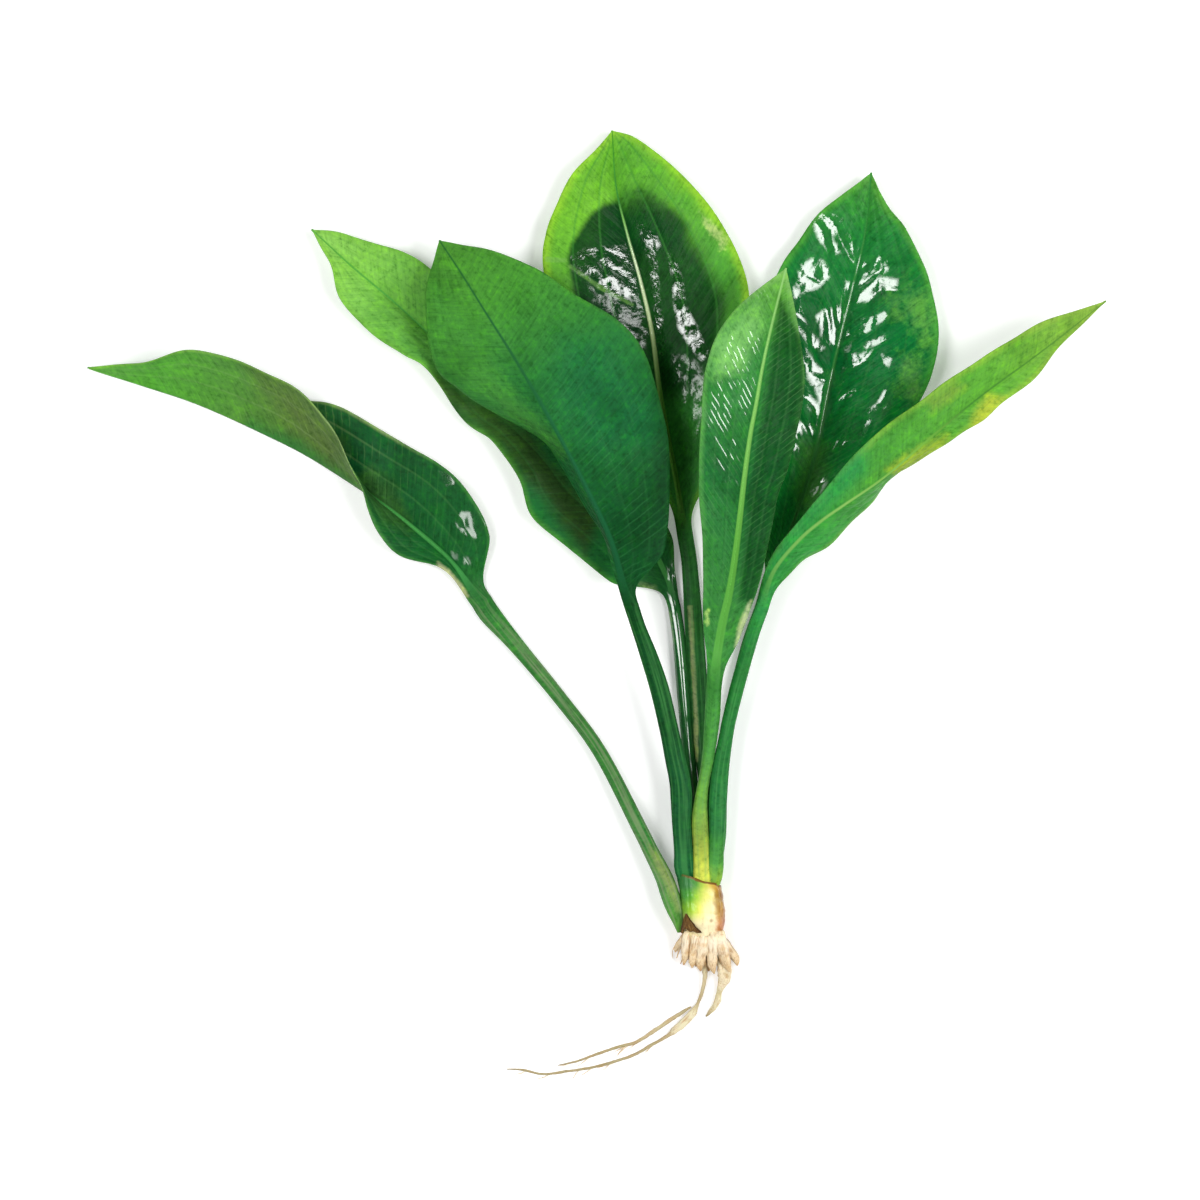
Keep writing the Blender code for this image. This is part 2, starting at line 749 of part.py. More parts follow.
def tube_rings(path, count):
    """Round rings along a curve of x, y, z, radius points."""
    stations = smooth_curve(path, count)
    centres = stations[:, :3]
    rings = []
    for centre, tangent, radius in zip(centres, tangents_of(centres), stations[:, 3]):
        side = unit(np.cross(tangent, (0.0, 0.0, 1.0)))
        normal = np.cross(side, tangent)
        rings.append([centre + radius * (side * math.cos(angle) + normal * math.sin(angle))
                      for angle in np.linspace(0, 2 * math.pi, ROOT_SIDES, endpoint=False)])
    return rings


def flattened(ring):
    """A root's first ring, moved flat against the crown's lower end."""
    return [(x, ROOT_START_Y, z) for x, _, z in ring]


def short_root_path(row, root):
    """Straight out of the crown, then bending down and aside to a blunt tip."""
    start_x = root["start_x"]
    sideways = root["end_x"] - start_x
    length = ROOT_START_Y - root["end_y"]
    drop = row["start_z"] - row["end_z"]
    # share of the length, of the sideways bend, of the drop and of the radius
    shares = [
        (0.0, 0.0, 0.0, 0.94),
        (0.25, 0.14, 0.10, 1.0),
        (0.55, 0.50, 0.50, 0.95),
        (0.93, 0.94, 0.94, 0.80),
        (1.0, 1.0, 1.0, 0.55),
    ]
    return [(start_x + sideways * across, ROOT_START_Y - length * along,
             row["start_z"] - drop * fallen, SHORT_ROOT_RADIUS * thick)
            for along, across, fallen, thick in shares]


def make_short_roots():
    material = make_material("short_root", (0.78, 0.66, 0.50), 0.5)
    number = 0
    for row in SHORT_ROOT_ROWS:
        for root in row["roots"]:
            number += 1
            rings = tube_rings(short_root_path(row, root), SHORT_ROOT_STATIONS)
            rings[0] = flattened(rings[0])
            mesh_object(f"root_short_{number:02d}", rings, material)


def make_long_roots():
    material = make_material("long_root", (0.72, 0.60, 0.44), 0.5)
    for name, path in LONG_ROOTS.items():
        rings = tube_rings(path, 2 * len(path))
        if path[0][1] == ROOT_START_Y:
            rings[0] = flattened(rings[0])
        mesh_object(name, rings, material)


def main():
    clear_scene()
    make_leaves()
    make_crown()
    make_dry_scale()
    make_short_roots()
    make_long_roots()


main()
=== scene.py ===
"""Looks of a bare-root amazon sword plant that lies on its back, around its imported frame.

The frame: +X to the plant's right, +Y along the petioles towards the leaf tips, +Z up.
Tables are in millimetres; meshes are written in metres.
"""
import math

import bpy
import numpy as np
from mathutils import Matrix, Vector


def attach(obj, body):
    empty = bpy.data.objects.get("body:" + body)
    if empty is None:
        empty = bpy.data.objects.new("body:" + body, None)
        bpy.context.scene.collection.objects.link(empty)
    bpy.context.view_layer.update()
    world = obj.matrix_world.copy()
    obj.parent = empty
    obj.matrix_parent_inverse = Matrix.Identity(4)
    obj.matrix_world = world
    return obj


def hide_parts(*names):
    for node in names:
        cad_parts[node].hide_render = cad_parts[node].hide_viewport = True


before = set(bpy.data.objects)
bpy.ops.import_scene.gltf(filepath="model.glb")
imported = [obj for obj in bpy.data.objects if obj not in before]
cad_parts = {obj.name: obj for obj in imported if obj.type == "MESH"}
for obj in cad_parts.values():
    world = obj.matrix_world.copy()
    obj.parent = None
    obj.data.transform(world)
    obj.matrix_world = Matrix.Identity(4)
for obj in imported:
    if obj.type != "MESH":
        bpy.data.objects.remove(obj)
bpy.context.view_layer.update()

MM = 0.001
BODY = "root"
UP = (0.0, 0.0, 1.0)
WHITE = (1.0, 1.0, 1.0, 1.0)
# The middle of the plant on the floor, in metres
PLANT_MIDDLE = (-0.03, 0.10, 0.0)
FLOOR_CLEARANCE = 0.04

# How finely a leaf is divided: along its stalk, along its blade, and across half of the blade
STALK_STATIONS = 56
BLADE_STATIONS = 240
HALF_POINTS = 32
CURVE_STEPS = 40
# Points across the blade gather towards the midrib by this power
GATHER = 1.35

# The share of the blade over which it grows out of the round stalk
FOOT_SHARE = 0.125
BLADE_BULGE = 0.05
BLADE_THICKNESS = 0.6
MARGIN_THICKNESS = 0.3
COSTA_DEPTH = 1.2
COSTA_WIDTH = 1.1
GROOVE_DEPTH = 0.35
GROOVE_WIDTH = 0.8
# A half of the blade is never narrower than this, and within this of the midrib both halves
# face one way; a half that stands on edge is turned up until its face reaches this length
LEAST_SPAN = 0.3
NEAR_MIDRIB = 2.5
LEAST_FACING = 0.3
# The blade's relief starts this far beside the midrib and is full this much further out
RELIEF_START = 0.6
RELIEF_RISE = 2.6
# It fades over these shares of the blade at its foot and at its tip, and in its outer rim
FOOT_FADE = 0.10
TIP_FADE = 0.07
RIM_START = 0.86
# The pillows between the cross veins, and how unevenly they swell; then the length along the
# blade and the width across it of one cell of each unevenness
PILLOW_POWER = 0.8
PILLOW_MEAN = 0.55
LEAST_SWELL = 0.6
SWELL_RANGE = 0.8
WANDER_CELL = (11.0, 8.0)
SWELL_CELL = (13.0, 9.0)
BLISTER_CELL = (6.5, 4.6)
SMALL_BLISTER_CELL = (2.9, 2.6)
SMALL_BLISTERS = 0.4
# Where the arched veins run, as shares of the way from the midrib to the margin
ARC_VEINS = (0.36, 0.68)
ARC_VEIN_WIDTH = 0.7
# Waves of the margin: height, length, start, and the power by which they die away inwards
MARGIN_WAVES = [(0.5, 34.0, 0.1, 2.0), (0.25, 17.0, 0.6, 3.0)]
# Near the crown a stalk is a broad sheath, squarer than an oval by this power
SHEATH_POWER = 0.62
SQUARE_BELOW_Y = 22.0
ROUNDING_LENGTH = 26.0
STALK_RIBS = 0.009
# The oval of a stalk stops this share of a half turn to each side, where its two faces meet
STALK_TURN = 0.485
# A stain, a patch of painted light or shade, or a wet zone is told apart from the rest of the blade up to
# this distance
PATCH_REACH = 12.0

# A leaf is one stalk and one blade. A stalk point is x, y, z, width, thickness.
# Midrib and margin points are x, y, z, from the foot of the blade up to the tip they share.
LEAVES = {
    "leaf_far_left": {
        "tip": (-184.5, 162.6, 5),
        "stalk": [
            (-7.2, -6.3, 5.8, 1.3, 2.6), (-7.5, -3, 6.6, 3.6, 4.2), (-8.7, 1, 6.9, 5.2, 4.8),
            (-10, 5, 6.9, 5.6, 4.9), (-12, 10.5, 6.5, 5.2, 4.6), (-15.8, 18, 5.8, 4.6, 4.4),
            (-18.9, 24.3, 5.2, 4.5, 4.2), (-30.9, 47.4, 3.8, 4.2, 3.8), (-42.9, 63.6, 2.9, 4.2, 3.4),
            (-55.6, 79, 2.4, 4.8, 3), (-63.8, 88.6, 2.2, 6.4, 2.6)],
        "midrib": [
            (-66.4, 92.6, 2), (-75.9, 105, 1.7), (-87.9, 115.5, 1.55), (-101.4, 125.4, 1.4),
            (-117.9, 136.5, 1.2), (-132.9, 144, 1.05), (-150.9, 151.8, 1.2), (-165.9, 156.8, 2.4)],
        "left": [
            (-70, 91.8, 2.6), (-72.4, 97, 3.6), (-79.8, 103.2, 5), (-90.9, 106.5, 6), (-96.6, 112, 7.5),
            (-100.6, 120, 10), (-103.8, 130.5, 13), (-111.9, 145.5, 16.5), (-123.9, 157.5, 18),
            (-138.9, 164.4, 17), (-153.9, 167.4, 14), (-168.9, 164.2, 9.5)],
        "right": [
            (-62.6, 93.6, 2.6), (-61.9, 99.5, 4), (-62.9, 107, 6), (-66, 117.6, 8), (-72, 127.5, 8.2),
            (-79.8, 134.4, 7.5), (-90.3, 140.1, 6), (-108.9, 151, 3.6), (-121, 153, 2.6),
            (-135.9, 154.5, 2.4), (-150.9, 158.1, 2.8), (-168.9, 161.1, 4)],
    },
    "leaf_back_left": {
        "tip": (-117.3, 204, 6),
        "stalk": [
            (-4.2, 4, 3.6, 4.3, 4.4), (-4.6, 10.8, 3.2, 4.3, 4.4), (-3.8, 21, 3.1, 3.9, 4.2),
            (-2.9, 33, 3, 3.5, 4), (-4.3, 47, 2.8, 3.7, 3.8), (-5.7, 63, 2.6, 3.9, 3.4),
            (-7.2, 81, 2.4, 3.9, 3)],
        "midrib": [
            (-8.6, 91, 2), (-11.5, 101, 1.75), (-18.9, 114, 1.6), (-36.9, 132, 1.4), (-60.9, 153, 1.15),
            (-82.5, 173.1, 0.95), (-93, 182.7, 1.6), (-105.9, 193.5, 3.4)],
        "left": [
            (-10.2, 90.6, 2.6), (-14.6, 90.4, 3.4), (-20.4, 93.6, 4.5), (-30.3, 100.5, 6.5),
            (-40.5, 108.6, 5), (-51, 117.6, 7), (-55, 129, 8.5), (-63, 140.1, 6.5), (-71.1, 146.4, 5.5),
            (-82.5, 161.7, 8), (-90.3, 166.5, 8), (-101.7, 175.2, 6), (-109, 183.5, 7), (-112, 194, 7)],
        "right": [
            (-6.4, 91.4, 2.4), (-7, 101, 3), (-11.6, 116, 5), (-24.9, 130.5, 7), (-36.9, 145.5, 6),
            (-51.9, 162, 5), (-66.9, 177.5, 7), (-81.3, 191.4, 8), (-88.8, 196.8, 7), (-98, 199.8, 6.5),
            (-108.9, 203.1, 6)],
    },
    "leaf_front_left": {
        "tip": (-78.9, 200.5, 14),
        "stalk": [
            (-3.2, 3, 5.2, 3.8, 3), (-4.6, 8.6, 6.5, 5, 3.6), (-5.6, 13, 8.4, 6.2, 4.5),
            (-5.9, 18, 9, 5.7, 4.6), (-6.5, 27, 9.1, 5.8, 4.6), (-6.5, 33, 9.3, 6.5, 4.5),
            (-7, 39, 9.6, 6.4, 4.4), (-8.4, 45.5, 10.1, 6.1, 4.3), (-10.2, 54, 10.9, 5.7, 4.1),
            (-13, 66, 12.4, 5.7, 3.8), (-16.2, 76, 13.9, 5.2, 3.5), (-19.3, 84.5, 15.3, 4.4, 3.3)],
        "midrib": [
            (-21.6, 91.5, 16.5), (-24.6, 100.5, 18.5), (-28.5, 112.5, 21), (-34.2, 124.5, 23.5),
            (-40.5, 136.8, 25.5), (-48.6, 151.8, 27), (-56.7, 165.6, 26.5), (-64.8, 178.5, 24),
            (-72.6, 191, 19.5)],
        "left": [
            (-23.4, 91.2, 16.5), (-26.2, 101, 17.5), (-30.5, 112, 17.5), (-36.5, 123, 16),
            (-44, 136, 14.5), (-53.7, 144, 13), (-65.7, 151, 12), (-73.5, 156.5, 11.5),
            (-79.2, 160.5, 11.5), (-81.8, 168, 12), (-82.8, 179.4, 13.5), (-82, 190, 14)],
        "right": [
            (-19.8, 91.8, 16.5), (-18.6, 94, 17), (-13.2, 102.5, 18.5), (-10.8, 113, 19.5),
            (-10.2, 123, 20.5), (-10.6, 140.7, 21), (-14.1, 156.6, 20), (-18.6, 168.5, 19),
            (-26.1, 176.7, 19.5), (-40.5, 185.7, 20.5), (-50.1, 192, 19.5), (-64.8, 197.7, 17)],
    },
    "leaf_centre_back": {
        "tip": (-27.3, 233.7, 4.5),
        "stalk": [
            (0, 4, 3.6, 4, 4.4), (0, 9.5, 3.2, 4, 4.4), (0.5, 21, 3.1, 3.7, 4.2), (1, 33, 3, 3.5, 4),
            (-0.3, 47, 2.8, 4.4, 3.8), (-1.2, 63, 2.6, 5.6, 3.4), (-2.6, 83, 2.3, 5.6, 3),
            (-4, 103, 2.1, 4.8, 2.6)],
        "midrib": [
            (-5.4, 112.5, 2), (-8.1, 128.7, 1.65), (-10.6, 141.9, 1.5), (-12.9, 155.1, 1.35),
            (-15.3, 173.1, 1.2), (-18.6, 188, 1.05), (-22.8, 203, 0.95), (-26.1, 217.2, 1.8)],
        "left": [
            (-6.9, 112.3, 2.4), (-9.6, 120, 3.6), (-17.4, 133.5, 6), (-27.9, 147, 7), (-38.4, 162, 6),
            (-45.3, 177, 6.5), (-48, 192.9, 8), (-46.8, 203.4, 7.5), (-44.1, 211, 6.5), (-39, 221.1, 7),
            (-31, 229, 6)],
        "right": [
            (-3.9, 112.7, 2.4), (-0.9, 121.5, 3.6), (3.6, 135, 5.5), (8.1, 150, 7), (12.3, 168, 7.5),
            (13.8, 184, 6.5), (10.5, 196.5, 7.5), (4.2, 207.5, 8), (-2.7, 216.6, 7), (-11.7, 225.3, 6.5),
            (-20.4, 231.5, 5.5)],
    },
    "leaf_front_centre": {
        "tip": (24.6, 192, 22),
        "stalk": [
            (-0.2, 4, 8, 5, 4.2), (-0.3, 9.4, 8.9, 5.2, 4.2), (-0.6, 18, 9, 5, 4.4),
            (-1, 27, 9.2, 4.8, 4.4), (-0.7, 33, 9.4, 3.9, 4.3), (0.2, 39, 9.8, 3.4, 4.2),
            (1.5, 46.5, 10.5, 3.7, 4.1), (2.6, 57, 11.9, 4.6, 3.8)],
        "midrib": [
            (3.1, 66, 13.3), (3.9, 75, 14.8), (5.6, 86, 16.5), (7.9, 96.5, 18.4), (10, 111, 21.5),
            (12, 128.7, 25.5), (13.8, 141.9, 27.8), (15.6, 151.5, 29), (17.4, 162, 29.2),
            (20.1, 174.3, 27.5)],
        "left": [
            (0.8, 66.3, 13.5), (0.5, 76, 15.4), (0, 86.7, 17.8), (-0.1, 96, 20.5), (-0.3, 106, 24),
            (-0.9, 119.1, 28), (-1.5, 133, 31), (-0.8, 148.8, 33.5), (0.6, 161.4, 34), (3.3, 170.7, 33),
            (8.1, 178.2, 30.5), (14.7, 184.5, 27)],
        "right": [
            (5.6, 65.7, 13.5), (7.6, 73, 14.8), (10.4, 80.4, 16), (14, 90.2, 18.2), (16.4, 97, 20.9),
            (18.6, 106, 23.5), (20.2, 115, 25.5), (22, 124, 27.5), (25.2, 132.5, 29.5), (28, 144.6, 31.5),
            (30, 158.5, 31.5), (28.8, 170.4, 29.5), (26.8, 181.8, 26)],
    },
    "leaf_back_right": {
        "tip": (50.4, 221.1, 5),
        "stalk": [
            (1.6, 3, 3.8, 3, 3.6), (2.6, 8.2, 3.4, 3.6, 4.2), (4.8, 21, 3.1, 3.9, 4.2),
            (5.4, 33, 3, 3.6, 4), (6.5, 47, 2.8, 3.4, 3.8), (9.2, 63, 2.6, 3.4, 3.4),
            (13, 79, 2.4, 3.4, 3)],
        "midrib": [
            (17.6, 92, 2), (22.6, 104, 1.7), (28.8, 121, 1.55), (33.9, 137.7, 1.35), (37.4, 155, 1.2),
            (41, 171, 1.05), (45, 187.5, 0.95), (48.6, 203, 2.2)],
        "left": [
            (16.1, 92.4, 2.6), (17.6, 101, 3.6), (17.4, 113, 5), (16.8, 126, 6.5), (16.4, 138, 6),
            (16.6, 153, 5.5), (17.6, 168, 7), (19.6, 183, 7.5), (23.6, 193.5, 7), (28.5, 200.5, 6),
            (33.9, 208.2, 6.5), (41.7, 214.2, 6.5)],
        "right": [
            (19.1, 91.6, 2.6), (23.5, 97.5, 3.6), (31.5, 107, 5), (40.5, 119.4, 6.5), (47.1, 127.8, 6.5),
            (54.6, 137.4, 5.5), (64, 151, 7), (69, 162, 8), (70.4, 174, 7.5), (68.1, 187.5, 6.5),
            (65.2, 195.5, 7.5), (60.6, 204.3, 7.5), (55, 211, 6.5)],
    },
    "leaf_low_right": {
        "tip": (120.3, 182.4, 14),
        "stalk": [
            (1.4, 1.5, 5.2, 3, 2.6), (2.3, 6.4, 6.4, 4, 3.4), (3.5, 11.5, 8.6, 4.9, 4.3),
            (4, 21, 9.1, 4.5, 4.4), (4.4, 33, 9.4, 5.4, 4.4), (5.1, 42, 9.9, 5.2, 4.2),
            (6.6, 51, 10.6, 4.3, 4), (7.7, 57, 11.1, 4.2, 3.9), (10.4, 68, 12.2, 4.3, 3.6),
            (14.4, 82, 13.7, 4.2, 3.2)],
        "midrib": [
            (17.2, 90, 14.8), (21, 101.5, 16.5), (28.2, 110.6, 19), (35.1, 116.6, 21), (42, 121.4, 22.6),
            (54.3, 129.9, 24.5), (68.1, 141.9, 24.2), (83.1, 154.2, 22), (101.1, 167.4, 18.6)],
        "left": [
            (15.3, 90.6, 15.2), (18.6, 102.8, 17.4), (25.2, 112.5, 20.5), (35.1, 124.8, 24),
            (42.6, 133.6, 26.5), (53.1, 144, 28), (64.8, 152.6, 28), (77.4, 161.4, 27), (90, 169.8, 24.5),
            (102.6, 176.4, 20.5)],
        "right": [
            (19.1, 89.4, 14.6), (22.6, 96, 14), (28.8, 103.5, 13), (37.5, 109.2, 12.2),
            (45.6, 118.2, 12.2), (51.6, 123.6, 13), (57, 129.8, 15), (65.1, 135.3, 18), (75.5, 142, 20.5),
            (83.4, 146.4, 21.5), (89.1, 151.8, 21), (98.4, 158.7, 19.2), (106.5, 168.5, 17)],
    },
}


def smooth(value):
    """0 below 0, 1 above 1 and a soft step between; works on arrays."""
    value = np.clip(value, 0.0, 1.0)
    return value * value * (3.0 - 2.0 * value)


def unit(vectors):
    return vectors / np.linalg.norm(vectors, axis=-1, keepdims=True)


def smooth_curve(points, count):
    """Points spaced evenly by length along a smooth curve through the given points."""
    points = np.array(points, dtype=float)
    padded = np.vstack([2 * points[0] - points[1], points, 2 * points[-1] - points[-2]])
    samples = []
    t = (np.arange(CURVE_STEPS) / CURVE_STEPS)[:, None]
    for index in range(1, len(padded) - 2):
        before, start, end, after = padded[index - 1:index + 3]
        samples.append(0.5 * (2 * start + (end - before) * t
                              + (2 * before - 5 * start + 4 * end - after) * t ** 2
                              + (3 * start - before - 3 * end + after) * t ** 3))
    samples = np.vstack(samples + [points[-1:]])
    lengths = np.linalg.norm(np.diff(samples[:, :3], axis=0), axis=1)
    along = np.concatenate([[0.0], np.cumsum(lengths)])
    wanted = np.linspace(0.0, along[-1], count)
    return np.column_stack([np.interp(wanted, along, samples[:, axis])
                            for axis in range(points.shape[1])])


def tangents_of(points):
    return unit(np.gradient(points, axis=0))


def lattice_noise(x, y, seed):
    """Smooth noise between -1 and 1, one cell to a unit."""
    size = 64
    table = np.random.default_rng(seed).uniform(-1.0, 1.0, (size, size))
    x0 = np.floor(x).astype(int)
    y0 = np.floor(y).astype(int)
    fx = smooth(x - x0)
    fy = smooth(y - y0)
    x1 = (x0 + 1) % size
    y1 = (y0 + 1) % size
    x0 = x0 % size
    y0 = y0 % size
    low = table[x0, y0] * (1 - fx) + table[x1, y0] * fx
    high = table[x0, y1] * (1 - fx) + table[x1, y1] * fx
    return low * (1 - fy) + high * fy


def signed_distance(points, outline_points):
    """Distance in millimetres from each x, y point to a closed outline, positive inside."""
    corners = np.array(outline_points)
    nearest = np.full(len(points), np.inf)
    inside = np.zeros(len(points), dtype=bool)
    for start, end in zip(corners, np.roll(corners, -1, axis=0)):
        side = end - start
        share = np.clip(((points - start) @ side) / (side @ side), 0.0, 1.0)
        gap = np.linalg.norm(points - (start + share[:, None] * side), axis=1)
        nearest = np.minimum(nearest, gap)
        # a level side is crossed by no point's line, so its rise may be any number but 0
        rise = side[1] or 1.0
        crosses = (start[1] > points[:, 1]) != (end[1] > points[:, 1])
        meets = start[0] + (points[:, 1] - start[1]) * side[0] / rise
        inside ^= crosses & (points[:, 0] < meets)
    return np.where(inside, nearest, -nearest)


def new_object(name, data):
    thing = bpy.data.objects.new(name, data)
    bpy.context.scene.collection.objects.link(thing)
    return thing


def mesh_piece(name, bodies, material, replaced=()):
    """One piece of closed bodies; each is rings of equally many points, and values at the points."""
    vertices = []
    faces = []
    kept = {}
    for rings, places in bodies:
        count, sides = rings.shape[:2]
        rows = np.arange(count * sides).reshape(count, sides) + len(vertices)
        rings[..., 2] = np.maximum(rings[..., 2], FLOOR_CLEARANCE)
        vertices.extend((rings.reshape(-1, 3) * MM).tolist())
        lower, upper = rows[:-1], rows[1:]
        faces.extend(np.stack([lower, np.roll(lower, -1, axis=1), np.roll(upper, -1, axis=1),
                               upper], axis=-1).reshape(-1, 4).tolist())
        faces.append(rows[0][::-1].tolist())
        faces.append(rows[-1].tolist())
        for title, values in places.items():
            kept.setdefault(title, []).append(np.broadcast_to(values, (count, sides)).ravel())
    mesh = bpy.data.meshes.new(name)
    mesh.from_pydata(vertices, [], faces)
    for title, values in kept.items():
        layer = mesh.attributes.new(title, "FLOAT", "POINT")
        layer.data.foreach_set("value", np.concatenate(values).astype(np.float32))
    mesh.shade_smooth()
    mesh.materials.append(material)
    piece = new_object(name, mesh)
    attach(piece, BODY)
    if replaced:
        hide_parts(*replaced)


def relief(quilt, seed, along, reach, side, half):
    """How far the blade's surface stands out along its normal, in millimetres."""
    out = side * half

    def uneven(cell, number):
        return lattice_noise(reach / cell[0], out / cell[1], seed + number)

    ends = smooth(along / FOOT_FADE) * smooth((1.0 - along) / TIP_FADE)
    beside = smooth((out - RELIEF_START) / RELIEF_RISE)
    rim = 1.0 - smooth((side - RIM_START) / (1.0 - RIM_START))
    # swollen pillows between the cross veins, uneven in place and in height
    phase = (reach - quilt["slant"] * out) / quilt["pitch"]
    phase = phase + quilt["wander"] * uneven(WANDER_CELL, 0)
    pillow = np.abs(np.sin(math.pi * phase)) ** PILLOW_POWER - PILLOW_MEAN
    swell = LEAST_SWELL + SWELL_RANGE * np.abs(uneven(SWELL_CELL, 1))
    height = quilt["depth"] * pillow * swell * beside * rim
    for share in ARC_VEINS:
        gap = (side - share) * half
        height -= quilt["arc_depth"] * np.exp(-(gap / ARC_VEIN_WIDTH) ** 2) * rim
    blister = uneven(BLISTER_CELL, 2) + SMALL_BLISTERS * uneven(SMALL_BLISTER_CELL, 3)
    height += quilt["blister"] * blister * beside * rim
    for size, length, start, power in MARGIN_WAVES:
        height += size * np.sin(2 * math.pi * (reach / length + start)) * side ** power
    return height * ends


def blade_half(midrib, margin, tangent, normal, sign, quilt, seed, along, reach):
    """Upper and lower points of half a blade, and each point's share of the half's width."""
    span = margin - midrib
    length = np.linalg.norm(span, axis=1, keepdims=True)
    across = unit(np.cross(tangent, UP)) * sign
    span = np.where(length < LEAST_SPAN, across * LEAST_SPAN, span)
    length = np.maximum(length, LEAST_SPAN)
    facing = np.cross(span, tangent) * sign / length
    strength = np.linalg.norm(facing, axis=1, keepdims=True)
    facing = unit(facing + normal * np.maximum(LEAST_FACING - strength, 0.0))
    side = (np.arange(HALF_POINTS + 1) / HALF_POINTS)[None, :] ** GATHER
    out = side * length
    far = smooth(out / NEAR_MIDRIB)[..., None]
    face = unit(normal[:, None, :] * (1 - far) + facing[:, None, :] * far)
    bulge = length * BLADE_BULGE * 4 * side * (1 - side)
    middle = midrib[:, None, :] + span[:, None, :] * side[..., None]
    middle = middle + facing[:, None, :] * bulge[..., None]
    raised = relief(quilt, seed, along[:, None], reach[:, None], side, length)
    middle = middle + face * raised[..., None]
    thin = (BLADE_THICKNESS * (1 - side) + MARGIN_THICKNESS * side) / 2
    shrink = 1.0 - along[:, None]
    groove = GROOVE_DEPTH * shrink * np.exp(-(out / GROOVE_WIDTH) ** 2)
    costa = COSTA_DEPTH * shrink * np.exp(-(out / COSTA_WIDTH) ** 2)
    upper = middle + face * (thin - groove)[..., None]
    lower = middle - face * (thin + costa)[..., None]
    return upper, lower, *np.broadcast_arrays(side * sign, length)


def stalk_oval(centre, tangent, width, thickness, power):
    """Oval rings; upper points from left to right and then lower ones back."""
    side = unit(np.cross(tangent, UP))
    normal = np.cross(side, tangent)
    angles = np.linspace(-STALK_TURN * math.pi, STALK_TURN * math.pi, 2 * HALF_POINTS + 1)
    rib = 1.0 + STALK_RIBS * np.cos(angles * 9.0)
    lower_rib = 1.0 + STALK_RIBS * np.cos(angles * 7.0)
    across = np.sign(np.sin(angles)) * np.abs(np.sin(angles)) ** power[:, None]
    height = np.cos(angles) ** power[:, None]
    flat = side[:, None, :] * (across * rib * width[:, None])[..., None] / 2
    tall = normal[:, None, :] * (height * thickness[:, None])[..., None] / 2
    upper = centre[:, None, :] + flat + tall * rib[None, :, None]
    lower = centre[:, None, :] + flat - tall * lower_rib[None, :, None]
    return np.concatenate([upper, lower[:, ::-1]], axis=1)


def make_leaf(name, leaf, look):
    """A leaf in one piece: an oval stalk that flattens out into two halves of a blade."""
    foot = (*leaf["midrib"][0], *leaf["stalk"][-1][3:])
    stalk = smooth_curve(leaf["stalk"] + [foot], STALK_STATIONS + 1)
    midrib, left, right = (smooth_curve(leaf[line] + [leaf["tip"]], BLADE_STATIONS)
                           for line in ("midrib", "left", "right"))
    spine = np.vstack([stalk[:-1, :3], midrib])
    tangents = tangents_of(spine)
    blade_tangents = tangents[STALK_STATIONS:]
    steps = np.linalg.norm(np.diff(spine, axis=0), axis=1)
    reach = np.concatenate([[0.0], np.cumsum(steps)])
    reach = reach - reach[STALK_STATIONS]
    along = np.linspace(0.0, 1.0, BLADE_STATIONS)
    # a trace of the level direction keeps this one sound where the margins meet at the tip
    side = unit(right - left + 1e-6 * np.cross(blade_tangents, UP))
    normal = unit(np.cross(side, blade_tangents))

    left_half, right_half = (
        blade_half(midrib, margin, blade_tangents, normal, sign, look["quilt"], seed, along,
                   reach[STALK_STATIONS:])
        for margin, sign, seed in ((left, -1.0, look["seed"]), (right, 1.0, look["seed"] + 10)))
    # upper values from the left margin to the right one, and then the lower ones back
    upper, lower, blade_side, half_width = (
        np.concatenate([left_part[:, :0:-1], right_part], axis=1)
        for left_part, right_part in zip(left_half, right_half))
    flat_rings, blade_side, half_width = (
        np.concatenate([top, bottom[:, ::-1]], axis=1)
        for top, bottom in ((upper, lower), (blade_side, blade_side), (half_width, half_width)))
    width, thickness = stalk[-1, 3:]
    even = np.ones(BLADE_STATIONS)
    round_rings = stalk_oval(midrib, blade_tangents, even * width, even * thickness, even)
    share = smooth(along / FOOT_SHARE)[:, None, None]
    blade_rings = round_rings * (1 - share) + flat_rings * share
    roundness = smooth((stalk[:-1, 1] - SQUARE_BELOW_Y) / ROUNDING_LENGTH)
    power = SHEATH_POWER + roundness * (1 - SHEATH_POWER)
    stalk_rings = stalk_oval(spine[:STALK_STATIONS], tangents[:STALK_STATIONS], stalk[:-1, 3],
                             stalk[:-1, 4], power)
    rings = np.concatenate([stalk_rings, blade_rings])

    face_points = 2 * HALF_POINTS + 1
    stalk_side = np.linspace(-1.0, 1.0, face_points)
    stalk_side = np.tile(np.concatenate([stalk_side, stalk_side[::-1]]), (STALK_STATIONS, 1))
    stalk_half = np.tile(stalk[:-1, 3:4] / 2, (1, 2 * face_points))
    stalk_along = np.linspace(-1.0, 0.0, STALK_STATIONS, endpoint=False)
    places = {
        "along": np.concatenate([stalk_along, along])[:, None],
        "across": np.concatenate([stalk_side, blade_side]),
        "reach": reach[:, None],
        "half": np.concatenate([stalk_half, half_width]),
        "under": np.repeat([0.0, 1.0], face_points),
    }
    flat_points = rings[..., :2].reshape(-1, 2)
    for number, patch in enumerate(look["patches"]):
        gaps = [signed_distance(flat_points, shape) for shape in patch["outlines"]]
        gap = np.clip(np.max(gaps, axis=0), -PATCH_REACH, PATCH_REACH)
        places["patch_%d" % number] = gap.reshape(len(rings), -1)
    mesh_piece(name + "_fine", [(rings, places)], leaf_material(name + "_skin", look),
               (name,))


